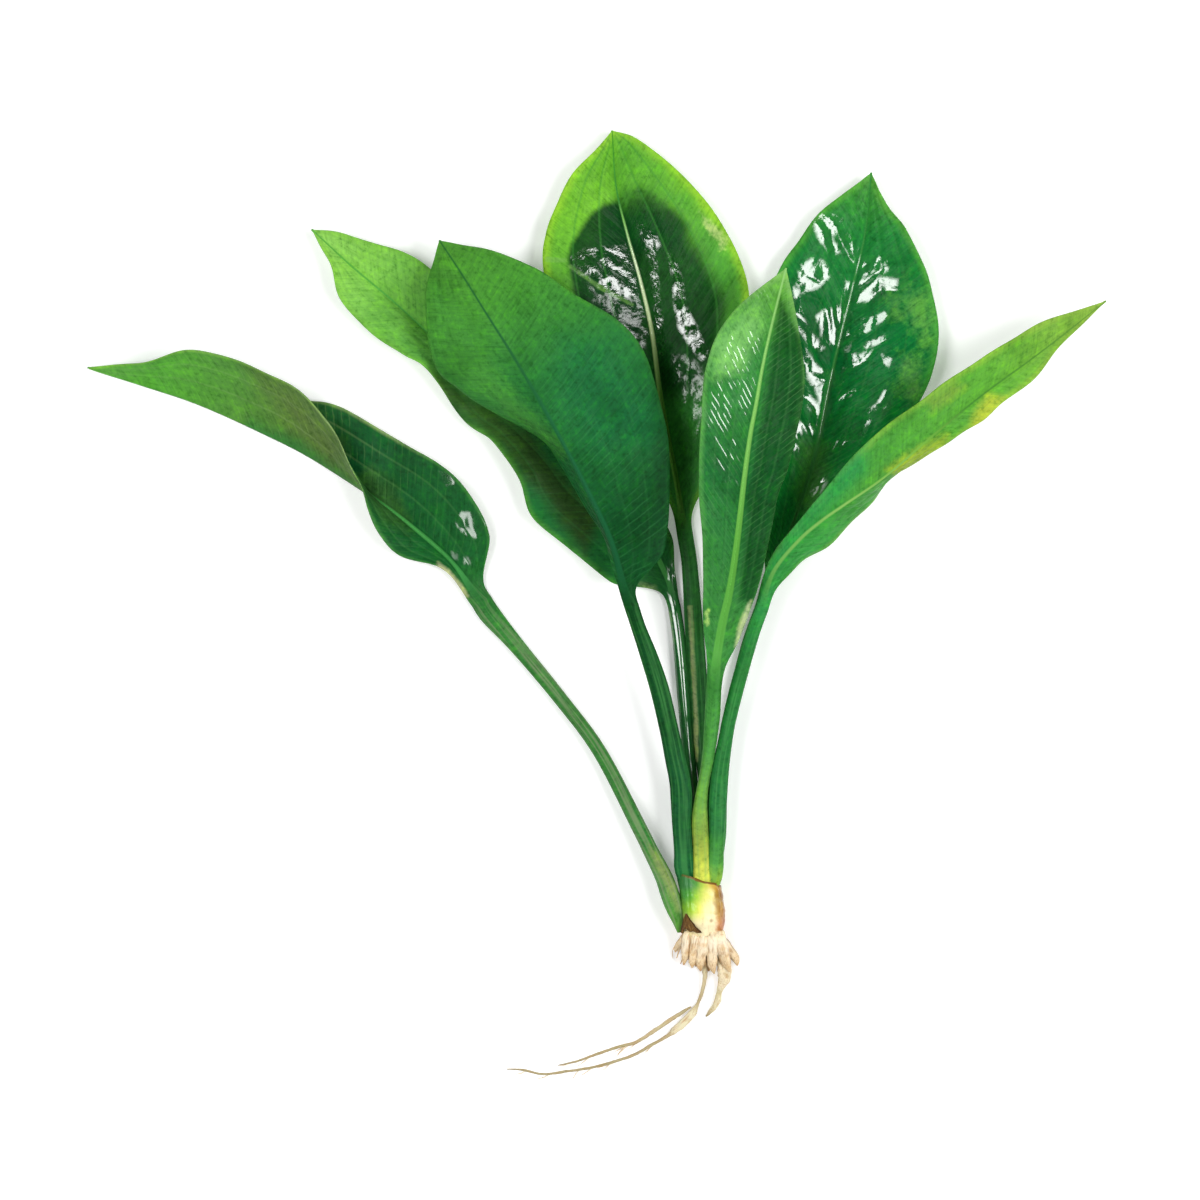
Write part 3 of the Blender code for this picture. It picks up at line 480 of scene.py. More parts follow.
class Paint:
    """One material: nodes around its Principled shader, and the colour laid on so far."""

    def __init__(self, name):
        self.material = bpy.data.materials.new(name)
        self.material.use_nodes = True
        self.tree = self.material.node_tree
        self.shader = self.tree.nodes["Principled BSDF"]
        self.known = {}
        self.colour = None

    def feed(self, socket, value):
        if isinstance(value, bpy.types.NodeSocket):
            self.tree.links.new(value, socket)
        else:
            socket.default_value = value

    def surface(self, values):
        """Values for the shader's own sockets."""
        for title, value in values.items():
            self.feed(self.shader.inputs[title], value)

    def add(self, kind, inputs, **settings):
        node = self.tree.nodes.new(kind)
        for key, value in settings.items():
            setattr(node, key, value)
        for key, value in inputs.items():
            self.feed(node.inputs[key], value)
        return node

    def place(self, title):
        """A value that the mesh holds at each point."""
        if title not in self.known:
            node = self.add("ShaderNodeAttribute", {}, attribute_name=title)
            self.known[title] = node.outputs["Fac"]
        return self.known[title]

    def spot(self):
        """The point's own place, in metres."""
        return self.add("ShaderNodeTexCoord", {}).outputs["Object"]

    def calc(self, operation, first, second=0.0):
        return self.add("ShaderNodeMath", {0: first, 1: second}, operation=operation).outputs[0]

    def times(self, first, *others):
        for other in others:
            first = self.calc("MULTIPLY", first, other)
        return first

    def scaled(self, value, factor, added):
        """value times factor, plus added."""
        return self.add("ShaderNodeMath", {0: value, 1: factor, 2: added},
                        operation="MULTIPLY_ADD").outputs[0]

    def between(self, value, low, high, start, end):
        """A soft step from start to end as the value goes from low to high."""
        return self.add("ShaderNodeMapRange",
                        {"Value": value, "From Min": low, "From Max": high, "To Min": start,
                         "To Max": end}, interpolation_type="SMOOTHSTEP").outputs["Result"]

    def step(self, value, low, high, strength=1.0):
        """A soft step from nothing to the strength as the value goes from low to high."""
        return self.between(value, low, high, 0.0, strength)

    def lay(self, share, over, blend="MIX"):
        """Lays a share of a colour, or of a ramp of colours, over what is painted so far."""
        over = shade(over) if isinstance(over, str) else over
        self.colour = self.add("ShaderNodeMix", {0: share, 6: self.colour, 7: over},
                               data_type="RGBA", blend_type=blend).outputs[2]

    def ramp(self, value, stops, low=0.0, high=1.0):
        """Colours along a value that runs from low to high."""
        node = self.add("ShaderNodeValToRGB", {})
        self.feed(node.inputs[0], self.scaled(value, 1.0 / (high - low), -low / (high - low)))
        elements = node.color_ramp.elements
        while len(elements) < len(stops):
            elements.new(0.5)
        for element, (at, colour) in zip(elements, stops):
            element.position = (at - low) / (high - low)
            element.color = shade(colour)
        return node.outputs[0]

    def noise(self, vector, scale, detail=3.0, roughness=0.5):
        return self.add("ShaderNodeTexNoise", {"Vector": vector, "Scale": scale, "Detail": detail,
                                               "Roughness": roughness}).outputs["Fac"]

    def vector(self, x, y, z=0.0):
        return self.add("ShaderNodeCombineXYZ", {0: x, 1: y, 2: z}).outputs[0]

    def fibres(self, x, x_scale, y, y_scale, z=0.0, detail=3.0, roughness=0.5):
        """Noise drawn out into fibres by a scale of its own along each of two places."""
        vector = self.vector(self.times(x, x_scale), self.times(y, y_scale), z)
        return self.noise(vector, 1.0, detail, roughness)

    def cells(self, vector, scale, high):
        """A net of cells: nothing at their edges and 1 from the distance high on."""
        node = self.add("ShaderNodeTexVoronoi", {"Vector": vector, "Scale": scale},
                        feature="DISTANCE_TO_EDGE")
        return self.step(node.outputs["Distance"], 0.0, high)

    def bump(self, height, millimetres, normal=None):
        inputs = {"Height": height, "Distance": millimetres * MM}
        if normal is not None:
            inputs["Normal"] = normal
        return self.add("ShaderNodeBump", inputs).outputs[0]


def shade(text):
    """A display colour written as six hexadecimal digits, as linear RGBA."""
    parts = [int(text[index:index + 2], 16) / 255 for index in (0, 2, 4)]
    return (*[part / 12.92 if part <= 0.04045 else ((part + 0.055) / 1.055) ** 2.4
              for part in parts], 1.0)


# The patterns all leaves share: scale to a metre, detail and roughness
CLOUD = (70.0, 3.0, 0.55)
BLOTCH = (210.0, 3.0, 0.6)
GRAIN = (620.0, 4.0, 0.65)
VEIN_PATCHES = (130.0, 2.0)
CELL_SCALE = 620.0
LIGHT_MOTTLE = "dcecac"
DARK_MOTTLE = "8cb084"
# Relief of a leaf's skin in millimetres
CROSS_RELIEF = 0.04
FIBRE_RELIEF = 0.08
NET_RELIEF = 0.02
BLOTCH_RELIEF = 0.10
GRAIN_RELIEF = 0.03
LEAF_SHINE = 0.045
WET_ROUGHNESS = 0.11
WATER_ROUGHNESS = 0.1
WATER_IOR = 1.8


def leaf_material(name, look):
    """Lamina, rim, midrib, veins, stains, painted light and shade, and wet zones, all from the leaf's own
    places.
    """
    paint = Paint(name)
    along, across, reach, half, under = (
        paint.place(title) for title in ("along", "across", "reach", "half", "under"))
    side = paint.calc("ABSOLUTE", across)
    out = paint.times(side, half)
    edge = paint.calc("SUBTRACT", half, out)
    spot = paint.spot()
    cloud, blotch, grain = (paint.noise(spot, *pattern) for pattern in (CLOUD, BLOTCH, GRAIN))
    on_blade = paint.step(along, 0.0, 0.1)
    above = paint.calc("SUBTRACT", 1.0, under)
    wobble = paint.scaled(cloud, 0.6, paint.scaled(blotch, 0.6, paint.scaled(grain, 0.4, -0.8)))

    def run(stops):
        return paint.ramp(along, stops, -1.0, 1.0)

    paint.colour = run(look["run"])
    below = look["under"]
    paint.lay(paint.times(under, on_blade, below["strength"]), run(below["run"]))

    # the margin's rim, whose inner edge wanders; on leaf_centre_back it is painted light shining through
    # the blade
    rim = look["rim"]
    rim_gap = paint.scaled(wobble, rim["wander"], edge)
    rim_share = paint.step(rim_gap, rim["width"], 0.0, rim["strength"])
    paint.lay(paint.times(rim_share, on_blade), run(rim["run"]))

    wet = None
    for number, patch in enumerate(look["patches"]):
        gap = paint.scaled(wobble, patch["wander"], paint.place("patch_%d" % number))
        share = paint.step(gap, -patch["soft"], patch["soft"], patch["strength"])
        if not patch["through"]:
            share = paint.times(share, above)
        if patch["colour"]:
            paint.lay(share, patch["colour"])
        else:
            share = paint.times(share, patch["wetness"])
            wet = share if wet is None else paint.calc("MAXIMUM", wet, share)

    veins = look["veins"]
    vein_colour = run(veins["run"])
    off_midrib = paint.times(paint.step(out, 0.6, 1.6), on_blade)
    slanted = paint.scaled(out, -veins["slant"], reach)
    # fibres between the cross veins, and fainter ones along the arched veins
    hatch = paint.fibres(slanted, 1.15, out, 0.13, across, roughness=0.6)
    drawn = paint.fibres(reach, 0.09, side, 17.0, across, roughness=0.6)
    fibre = paint.scaled(hatch, 0.6, paint.times(drawn, 0.4))
    for pattern, low, high, strength, over, blend in (
            (fibre, 0.5, 0.36, 0.4, DARK_MOTTLE, "MULTIPLY"),
            (fibre, 0.5, 0.66, 0.4, LIGHT_MOTTLE, "SOFT_LIGHT"),
            (cloud, 0.42, 0.7, 0.35, DARK_MOTTLE, "MULTIPLY"),
            (blotch, 0.5, 0.72, 0.4, LIGHT_MOTTLE, "SOFT_LIGHT"),
            (grain, 0.5, 0.7, 0.5, LIGHT_MOTTLE, "SOFT_LIGHT"),
            (grain, 0.48, 0.3, 0.5, DARK_MOTTLE, "MULTIPLY")):
        paint.lay(paint.step(pattern, low, high, strength), over, blend)

    # cross veins between the midrib and the margin, broken up by patches, and arched veins
    phase = paint.scaled(blotch, 0.55, paint.calc("DIVIDE", slanted, veins["pitch"]))
    ridge = paint.calc("ABSOLUTE", paint.calc("SUBTRACT", paint.calc("FRACT", phase), 0.5))
    ridge = paint.times(ridge, 2.0)
    patchy = paint.step(paint.noise(spot, *VEIN_PATCHES), 0.38, 0.62, veins["cross"])
    paint.lay(paint.times(paint.step(ridge, 0.72, 0.98), patchy, off_midrib), vein_colour)
    arcs = None
    for share in ARC_VEINS:
        gap = paint.calc("ABSOLUTE", paint.calc("SUBTRACT", side, share))
        line = paint.step(paint.times(gap, half), 0.55, 0.1, veins["arc"])
        arcs = line if arcs is None else paint.calc("MAXIMUM", arcs, line)
    paint.lay(paint.times(arcs, off_midrib), vein_colour)

    midrib = look["midrib"]
    wide = paint.between(along, 0.0, 1.0, *midrib["width"])
    rib = paint.step(paint.calc("SUBTRACT", out, wide), 0.3, -0.3)
    paint.lay(paint.times(rib, on_blade, above), run(midrib["run"]))

    streaks = paint.fibres(reach, 0.03, out, 1.6, across)
    on_stalk = paint.step(along, 0.06, -0.04, look["streak"]["strength"])
    paint.lay(paint.times(paint.step(streaks, 0.4, 0.7), on_stalk), look["streak"]["colour"])

    # water lies over the leaf as a glossy film and leaves little of its fine relief
    rough = paint.between(cloud, 0.3, 0.7, look["dry"] - 0.05, look["dry"] + 0.05)
    fine = 1.0
    film = look["film"]
    if wet is not None:
        beads = paint.noise(spot, film["scale"], 3.0, 0.55)
        slick = paint.times(wet, paint.step(beads, film["low"], film["high"]))
        if film["dashes"]:
            slick = paint.times(slick, paint.step(ridge, 0.7, 0.88))
        smoothed = paint.times(paint.calc("SUBTRACT", rough, WET_ROUGHNESS), slick)
        rough = paint.calc("SUBTRACT", rough, smoothed)
        fine = paint.between(wet, 0.0, 1.0, 1.0, film["fine"])
        paint.surface({"Coat Weight": slick, "Coat Roughness": WATER_ROUGHNESS,
                       "Coat IOR": WATER_IOR})
        if film["ripple"]:
            ripple = paint.noise(spot, film["ripple_scale"], 3.0, 0.55)
            paint.surface({"Coat Normal": paint.bump(ripple, film["ripple"])})

    pillow = paint.calc("SUBTRACT", 1.0, paint.calc("POWER", ridge, 3.0))
    pillow = paint.times(pillow, off_midrib)
    normal = paint.bump(paint.times(pillow, fine if film["flat_cross"] else 1.0), CROSS_RELIEF)
    normal = paint.bump(paint.times(fibre, fine), FIBRE_RELIEF, normal)
    net = paint.cells(spot, CELL_SCALE, 0.35)
    normal = paint.bump(paint.times(net, fine), NET_RELIEF, normal)
    normal = paint.bump(blotch, BLOTCH_RELIEF, normal)
    normal = paint.bump(paint.times(grain, fine), GRAIN_RELIEF, normal)
    if wet is not None:
        drops = paint.cells(spot, film["drop_scale"], 0.5)
        normal = paint.bump(paint.times(drops, wet), film["drop"], normal)
    paint.surface({"Base Color": paint.colour, "Roughness": rough, "Normal": normal,
                   "Specular IOR Level": LEAF_SHINE})
    return paint.material


# Millimetres to a pixel of the photograph, and the pixel of the plant's origin
PIXEL = 0.3
PHOTO_X = 703
PHOTO_Y = 910


def stain_or_painted_light(colour, strength, soft, wander, *outlines, through=False):
    """A patch of another colour, either a stain or painted light or shade; one that goes through the leaf
    shows on its underside too.

    Its edge is soft over some millimetres and wanders by some more. An outline is drawn over
    the photograph, its x and y in turn, and kept in millimetres.
    """
    outlines = [[((x - PHOTO_X) * PIXEL, (PHOTO_Y - y) * PIXEL)
                 for x, y in zip(numbers[::2], numbers[1::2])] for numbers in outlines]
    return {"colour": colour, "strength": strength, "soft": soft, "wander": wander,
            "outlines": outlines, "through": through}


def water(wetness, soft, wander, *outlines):
    """A patch of water on the upper side."""
    return {**stain_or_painted_light(None, 1.0, soft, wander, *outlines), "wetness": wetness}


# Colours run along a leaf: -1 is its foot at the crown, 0 the foot of the blade and 1 the tip.
# The quilt is the swelling between veins, the rim the paler margin, which on leaf_centre_back is
# painted light shining through the blade, and the veins are the slanted cross veins and the
# arched ones. The midrib has a half width at the foot of the blade and one at its tip. The film
# is water: the scale of its beads, from and to which value they spread, how much fine relief they
# leave, and the drops and ripples on them.
DEFAULT_LOOK = {
    "dry": 0.42,
    "film": {"scale": 160, "low": 0.36, "high": 0.46, "fine": 0.15, "flat_cross": True,
             "dashes": False, "drop_scale": 420, "drop": 0.05, "ripple": 0.0},
    "quilt": {"pitch": 6.6, "slant": 0.85, "wander": 0.33, "depth": 0.22, "arc_depth": 0.16,
              "blister": 0.12},
    "rim": {"width": 2.2, "wander": 2.0, "strength": 0.5, "run": [(0, "3f8f3a"), (1, "78b43c")]},
    "veins": {"slant": 0.85, "pitch": 2.1, "cross": 0.16, "arc": 0.1,
              "run": [(0, "5aa860"), (0.6, "4f9f4a"), (1, "2f7a2c")]},
    "midrib": {"width": (0.95, 0.25), "run": [(0, "4fa050"), (1, "4f9a3c")]},
    "streak": {"strength": 0.35, "colour": "4f9a50"},
    "under": {"strength": 0.75, "run": [(-1, "4f8f4a"), (1, "7aa862")]},
}

# What sets each leaf apart from that look
LOOKS = {
    "leaf_far_left": {
        "slot": "leaf_deep_green", "seed": 11,
        "film": {"scale": 150, "low": 0.2, "high": 0.34, "fine": 0.1, "drop_scale": 300, "drop": 0.1},
        "run": [(-1, "5a9438"), (-0.9, "3a8038"), (-0.6, "347034"), (-0.1, "347834"), (0.1, "185829"),
            (0.45, "124d26"), (0.6, "286834"), (1, "3f8a3a")],
        "midrib": {"width": (0.8, 0.2), "run": [(0, "3f8f48"), (1, "5aa04a")]},
        "rim": {"width": 1.4, "wander": 1.2, "strength": 0.7, "run": [(0, "2f7a34"), (0.3, "4f8a48"),
            (0.42, "9cb478"), (0.6, "7ca458"), (1, "78b43c")]},
        "veins": {"pitch": 2.6, "cross": 0.14, "arc": 0.15, "run": [(0, "2f7a3c"), (0.35, "5f9450"),
            (0.5, "94b070"), (1, "6aa850")]},
        "under": {"strength": 0.95, "run": [(-1, "4f8f4a"), (0.35, "506e33"), (0.55, "4c7232"),
            (0.7, "508838"), (0.85, "4f9636"), (1, "5a9a40")]},
        "streak": {"strength": 0.5, "colour": "869070"},
        "patches": [
            # painted highlight: a pale streak along the stalk's right edge
            stain_or_painted_light("a09c60", 0.5, 1.5, 3,
                  (650, 846, 664, 862, 676, 884, 681, 908, 677, 912, 668, 892, 656, 868)),
            water(1, 0.5, 2,
                  (461, 512, 478, 512, 484, 526, 476, 538, 464, 534, 456, 524),
                  (451, 551, 458, 552, 458, 560, 451, 559),
                  (464, 556, 472, 557, 471, 565, 464, 564),
                  (440, 472, 450, 473, 454, 484, 444, 486)),
            stain_or_painted_light("62683a", 0.35, 5, 9,
                  (252, 366, 300, 390, 340, 450, 330, 462, 290, 425, 262, 395), through=True),
            stain_or_painted_light("2f7438", 0.7, 2.5, 6,
                  (250, 420, 300, 440, 352, 480, 360, 492, 300, 466, 240, 432), through=True),
            stain_or_painted_light("3f6430", 0.5, 3, 8, (355, 480, 372, 466, 400, 500, 410, 530, 380, 520)),
            stain_or_painted_light("c8c09c", 0.75, 0.7, 1.5,
                  (438, 562, 450, 571, 461, 584, 468, 596, 461, 594, 448, 581, 437, 569), through=True),
        ],
    },
    "leaf_back_left": {
        "slot": "leaf_deep_green", "seed": 23,
        "run": [(-1, "2a7038"), (-0.5, "1f5f30"), (0, "1a582a"), (0.4, "1c6430"), (0.62, "4e9a44"),
            (0.88, "7cba4e"), (1, "8cc45c")],
        "veins": {"pitch": 2.6, "cross": 0.12, "arc": 0.12, "run": [(0, "3f8a48"), (0.6, "3f8a40"),
            (1, "2f7a2c")]},
        "patches": [
            # painted shadow cast by leaf_front_left over the lower part of the blade, brown-tinged and
            # darkest in its upper corner
            stain_or_painted_light("2c3818", 0.75, 3, 6,
                  (430, 370, 480, 400, 530, 430, 600, 520, 585, 555, 545, 500, 500, 450, 440, 398)),
            stain_or_painted_light("123c20", 0.8, 2, 3, (430, 392, 455, 405, 475, 425, 460, 420)),
            stain_or_painted_light("a4b484", 0.55, 1.4, 3, (640, 584, 654, 588, 668, 614, 672, 640, 660, 622, 646, 602)),
            water(0.9, 0.7, 2, (668, 560, 678, 560, 690, 700, 698, 800, 690, 800, 680, 710, 672, 640)),
        ],
    },
    "leaf_front_left": {
        "slot": "leaf_matt_green", "seed": 37, "dry": 0.5,
        "run": [(-1, "246c3c"), (-0.85, "165430"), (-0.4, "0d4420"), (0, "0b421c"), (0.2, "0c4620"),
            (0.4, "185c2c"), (0.58, "266e34"), (0.8, "438831"), (1, "488630")],
        "midrib": {"width": (1, 0.2), "run": [(0, "12502a"), (0.3, "185a34"), (0.5, "1c5e34"),
            (0.62, "1e5c2e"), (1, "1c5a28")]},
        "rim": {"width": 1.8, "strength": 0.3, "run": [(0, "1f6a34"), (1, "5a9c3c")]},
        "veins": {"slant": 0.42, "pitch": 2.2, "cross": 0.15, "arc": 0.05, "run": [(0, "48985a"),
            (0.6, "3f8a48"), (1, "2f7a2c")]},
        "patches": [
            # painted light: the left half of the blade, which faces the light, is painted lighter
            stain_or_painted_light("468c39", 0.75, 4, 8,
                  (436, 290, 462, 320, 520, 400, 560, 450, 520, 425, 470, 395, 432, 350)),
            # painted shade: the right half is darker, and darkest along its right edge
            stain_or_painted_light("146038", 0.6, 7, 12, (560, 340, 610, 345, 650, 400, 655, 440, 600, 450, 560, 410)),
            stain_or_painted_light("0f3f20", 0.7, 3, 5, (655, 400, 672, 460, 668, 540, 650, 600, 640, 590, 655, 520)),
        ],
    },
    "leaf_centre_back": {
        "slot": "leaf_yellow_green", "seed": 41, "dry": 0.36,
        "film": {"scale": 300, "low": 0.38, "high": 0.52, "fine": 0.3, "drop_scale": 520, "drop": 0.34,
            "ripple": 0.2, "ripple_scale": 520},
        # painted light: the bright yellow-green rim and tip stand for light shining through the thin
        # blade from behind
        "run": [(-1, "3a6a34"), (-0.5, "1f5228"), (-0.1, "24582a"), (0.1, "357c34"), (0.3, "3a8a3a"),
            (0.6, "5aa038"), (0.8, "6cb030"), (1, "62a830")],
        "rim": {"width": 3.4, "wander": 3, "strength": 0.85, "run": [(0, "5aa038"), (0.5, "92c832"),
            (1, "86bc34")]},
        "veins": {"cross": 0.1, "arc": 0.36, "run": [(0, "3f8a40"), (0.6, "3f8a34"), (1, "2f7a2c")]},
        # painted light: the midrib is pale as a highlight where the blade lies in painted shadow, and
        # dark towards the tip against the light shining through
        "midrib": {"width": (1, 0.2), "run": [(0, "5f9a3c"), (0.35, "7cb050"), (0.5, "b8cc90"),
            (0.66, "c8d8b0"), (0.78, "78b458"), (0.83, "2f7a30"), (1, "3f8a28")]},
        "patches": [
            # painted shadow: the dark heart of the blade, where a leaf behind it keeps light from shining
            # through, fading over mid green towards the bright tip
            stain_or_painted_light("0a4018", 0.95, 4.4, 4,
                  (650, 204, 680, 218, 704, 252, 728, 300, 716, 364, 694, 398, 664, 398, 640, 380,
                   600, 330, 585, 300, 600, 240, 625, 208)),
            stain_or_painted_light("3c8c36", 0.45, 2.2, 5,
                  (656, 186, 690, 198, 716, 234, 736, 278, 728, 302, 704, 254, 680, 216)),
            stain_or_painted_light("0a4018", 0.85, 2, 3,
                  (640, 183, 654, 191, 672, 206, 690, 226, 680, 252, 602, 252, 604, 210, 622, 190)),
            stain_or_painted_light("4c9432", 0.6, 2.6, 5,
                  (622, 138, 638, 143, 664, 168, 690, 206, 664, 206, 640, 190, 624, 206, 614, 196,
                   614, 160)),
            # painted highlight: a pale streak along the stalk's edge
            stain_or_painted_light("a4ac78", 0.65, 0.4, 1.2,
                  (688, 606, 692, 606, 698, 720, 698, 762, 693, 762, 694, 720), through=True),
            # painted shadow: the sharp left edge of that dark heart
            stain_or_painted_light("0a3c18", 0.95, 1.2, 0.6,
                  (618, 203, 604, 205, 591, 214, 571, 245, 567, 260, 575, 300, 640, 340, 640, 250)),
            # painted highlight: a short pale mark and a pale line along a fold of the blade
            stain_or_painted_light("7cac5c", 0.4, 0.3, 0.8,
                  (545, 257, 567, 259, 567, 263, 545, 263),
                  (568, 263, 600, 285, 634, 304, 633, 307, 598, 289, 567, 267)),
            # painted highlight: a whitish streak along the right rim
            stain_or_painted_light("d4e094", 0.55, 1.3, 9, (700, 208, 712, 222, 726, 243, 722, 248, 706, 230, 696, 212)),
            water(1, 0.7, 2.4,
                  (570, 258, 584, 250, 600, 247, 625, 246, 632, 262, 640, 297, 622, 299, 599, 285,
                   574, 266),
                  (636, 221, 646, 228, 657, 234, 660, 246, 655, 252, 658, 284, 662, 318, 666, 354,
                   660, 360, 653, 338, 654, 300, 650, 262, 642, 240),
                  (668, 252, 676, 262, 683, 284, 685, 306, 694, 322, 706, 350, 702, 360, 692, 350,
                   680, 330, 674, 308, 673, 280)),
            water(0.4, 1.6, 9,
                  (572, 268, 600, 250, 632, 250, 650, 300, 655, 344, 640, 348, 600, 300),
                  (672, 356, 690, 362, 706, 384, 700, 410, 688, 446, 678, 446, 670, 400)),
        ],
    },
    "leaf_front_centre": {
        "slot": "leaf_matt_green", "seed": 53, "dry": 0.36,
        "film": {"scale": 150, "low": 0.38, "high": 0.5, "fine": 0.3, "flat_cross": False, "dashes": True,
            "drop": 0.02},
        "run": [(-1, "d8dc58"), (-0.86, "ccd054"), (-0.72, "98a848"), (-0.55, "6c9c40"), (-0.3, "45883c"),
            (0, "377c34"), (0.2, "347838"), (0.5, "206632"), (0.8, "348038"), (1, "6aa848")],
        "rim": {"strength": 0.6, "run": [(0, "2f7a3a"), (0.6, "5fa050"), (1, "86b86a")]},
        "midrib": {"width": (1.35, 0.3), "run": [(0, "4a943c"), (0.35, "62a644"), (0.7, "80b85e"),
            (1, "8cc070")]},
        "veins": {"slant": 0.95, "pitch": 2.2, "cross": 0.18, "arc": 0.06, "run": [(0, "4f9a50"),
            (1, "7ab870")]},
        "patches": [
            stain_or_painted_light("0a421a", 0.85, 1.6, 2,
                  (779, 300, 803, 345, 806, 420, 794, 480, 772, 545, 752, 605, 738, 600, 748, 500,
                   760, 420, 772, 340)),
            stain_or_painted_light("7cbc66", 0.75, 3, 6, (712, 345, 740, 316, 756, 305, 760, 330, 740, 372, 714, 380)),
            stain_or_painted_light("c0c89c", 0.7, 0.8, 2,
                  (746, 604, 751, 600, 747, 622, 739, 640, 734, 648, 738, 628), through=True),
            stain_or_painted_light("b4d878", 0.75, 0.7, 4, (705, 612, 708, 611, 709, 624, 706, 626)),
            water(0.9, 1.2, 5,
                  (712, 384, 740, 384, 756, 376, 752, 410, 740, 450, 736, 488, 722, 480, 708, 440,
                   706, 410),
                  (722, 350, 740, 326, 752, 322, 758, 340, 748, 372, 724, 378),
                  (742, 300, 762, 290, 768, 300, 750, 312)),
        ],
    },
    "leaf_back_right": {
        "slot": "leaf_deep_green", "seed": 67, "dry": 0.3,
        "film": {"scale": 240, "low": 0.2, "high": 0.4, "fine": 0.2, "drop_scale": 520, "drop": 0.08,
            "ripple": 0.13, "ripple_scale": 420},
        "run": [(-1, "3f8a3c"), (-0.6, "1f6a34"), (0, "16682a"), (0.3, "12722f"), (0.6, "0b642f"),
            (0.85, "207836"), (1, "3f8434")],
        "quilt": {"pitch": 7.4, "slant": 0.8, "wander": 0.7, "depth": 0.5, "arc_depth": 0.2,
            "blister": 0.28},
        "rim": {"width": 3, "wander": 3, "strength": 0.7, "run": [(0, "2f7038"), (0.5, "479c3c"),
            (1, "5aa03c")]},
        "midrib": {"width": (0.8, 0.3), "run": [(0, "3f7f40"), (1, "2f7c34")]},
        "patches": [
            stain_or_painted_light("6caa4c", 0.5, 3.4, 18,
                  (906, 290, 924, 296, 934, 325, 926, 348, 912, 330),
                  (896, 300, 904, 298, 902, 316, 894, 318),
                  (900, 356, 920, 360, 914, 390, 900, 380)),
            stain_or_painted_light("4a8038", 0.6, 3, 6, (800, 440, 826, 446, 824, 492, 808, 520, 796, 500)),
            water(1, 0.8, 3,
                  (838, 228, 846, 236, 858, 250, 862, 262, 854, 263, 843, 246),
                  (853, 262, 862, 256, 887, 257, 888, 270, 872, 277, 856, 276),
                  (850, 283, 868, 278, 897, 280, 895, 292, 873, 301, 851, 300),
                  (845, 282, 853, 284, 850, 310, 850, 330, 852, 354, 843, 352, 842, 318),
                  (817, 316, 826, 310, 837, 307, 847, 312, 847, 348, 834, 346, 823, 336),
                  (842, 350, 856, 354, 872, 350, 869, 362, 850, 374, 838, 389, 823, 384, 815, 368,
                   828, 368, 838, 372, 846, 364),
                  (799, 350, 806, 350, 818, 368, 829, 384, 833, 400, 831, 420, 822, 437, 816, 432,
                   822, 414, 818, 398, 807, 374),
                  (798, 382, 806, 390, 820, 408, 816, 417, 803, 399),
                  (794, 421, 806, 421, 820, 427, 816, 435, 804, 431, 797, 438, 797, 452, 793, 450),
                  (814, 217, 828, 215, 842, 219, 839, 230, 831, 238, 841, 254, 832, 254, 821, 242,
                   815, 232),
                  (799, 268, 808, 260, 818, 259, 829, 266, 829, 278, 819, 288, 804, 293, 797, 286),
                  (793, 288, 800, 290, 798, 306, 807, 330, 823, 348, 817, 351, 801, 334, 792, 312),
                  (811, 484, 822, 476, 827, 484, 820, 493, 811, 496)),
            water(0.85, 0.4, 1.6,
                  (846, 338, 866, 322, 885, 311, 887, 318, 867, 333, 850, 343),
                  (861, 318, 874, 316, 874, 324, 862, 326),
                  (861, 343, 885, 335, 887, 341, 866, 350),
                  (879, 352, 892, 359, 888, 369, 883, 364),
                  (900, 336, 906, 330, 908, 334, 901, 341),
                  (836, 391, 855, 389, 855, 395, 838, 401),
                  (877, 402, 884, 391, 897, 391, 882, 409),
                  (860, 434, 868, 418, 871, 420, 863, 438),
                  (866, 410, 876, 404, 878, 408, 868, 415),
                  (830, 443, 846, 441, 846, 446, 832, 448)),
        ],
    },
    "leaf_low_right": {
        "slot": "leaf_yellow_green", "seed": 79, "dry": 0.45,
        "run": [(-1, "a4bc40"), (-0.91, "9cbc44"), (-0.85, "4f9440"), (-0.74, "246a38"), (-0.2, "1b672b"),
            (0, "2a8240"), (0.2, "38903e"), (0.45, "448a34"), (0.7, "589c34"), (1, "80a440")],
        "rim": {"width": 2.4, "wander": 3, "strength": 0.6, "run": [(0, "3f8f40"), (0.35, "7cb048"),
            (0.7, "8cb43c"), (1, "8aa848")]},
        "midrib": {"width": (0.55, 0.15), "run": [(0, "4f9444"), (0.3, "80b058"), (0.5, "6ca43c"),
            (0.62, "3f7a2c"), (1, "4a7a30")]},
        "patches": [
            stain_or_painted_light("248446", 0.75, 3, 7,
                  (765, 574, 790, 522, 828, 468, 866, 440, 866, 475, 832, 502, 800, 530, 775, 562)),
            stain_or_painted_light("4a8832", 0.65, 3, 8, (845, 500, 880, 484, 905, 470, 925, 458, 905, 450, 870, 470)),
            stain_or_painted_light("a0b034", 0.7, 2, 6, (886, 470, 915, 448, 945, 436, 940, 452, 905, 480)),
            stain_or_painted_light("b0b838", 0.8, 2, 4, (968, 420, 985, 396, 1004, 398, 990, 420, 970, 434)),
            stain_or_painted_light("8a8a38", 0.4, 2.5, 6, (925, 402, 950, 384, 962, 388, 948, 404, 930, 412)),
        ],
    },
}


def make_leaves():
    for name, leaf in LEAVES.items():
        look = dict(DEFAULT_LOOK)
        for key, value in LOOKS[name].items():
            look[key] = {**look[key], **value} if isinstance(value, dict) else value
        make_leaf(name, leaf, look)


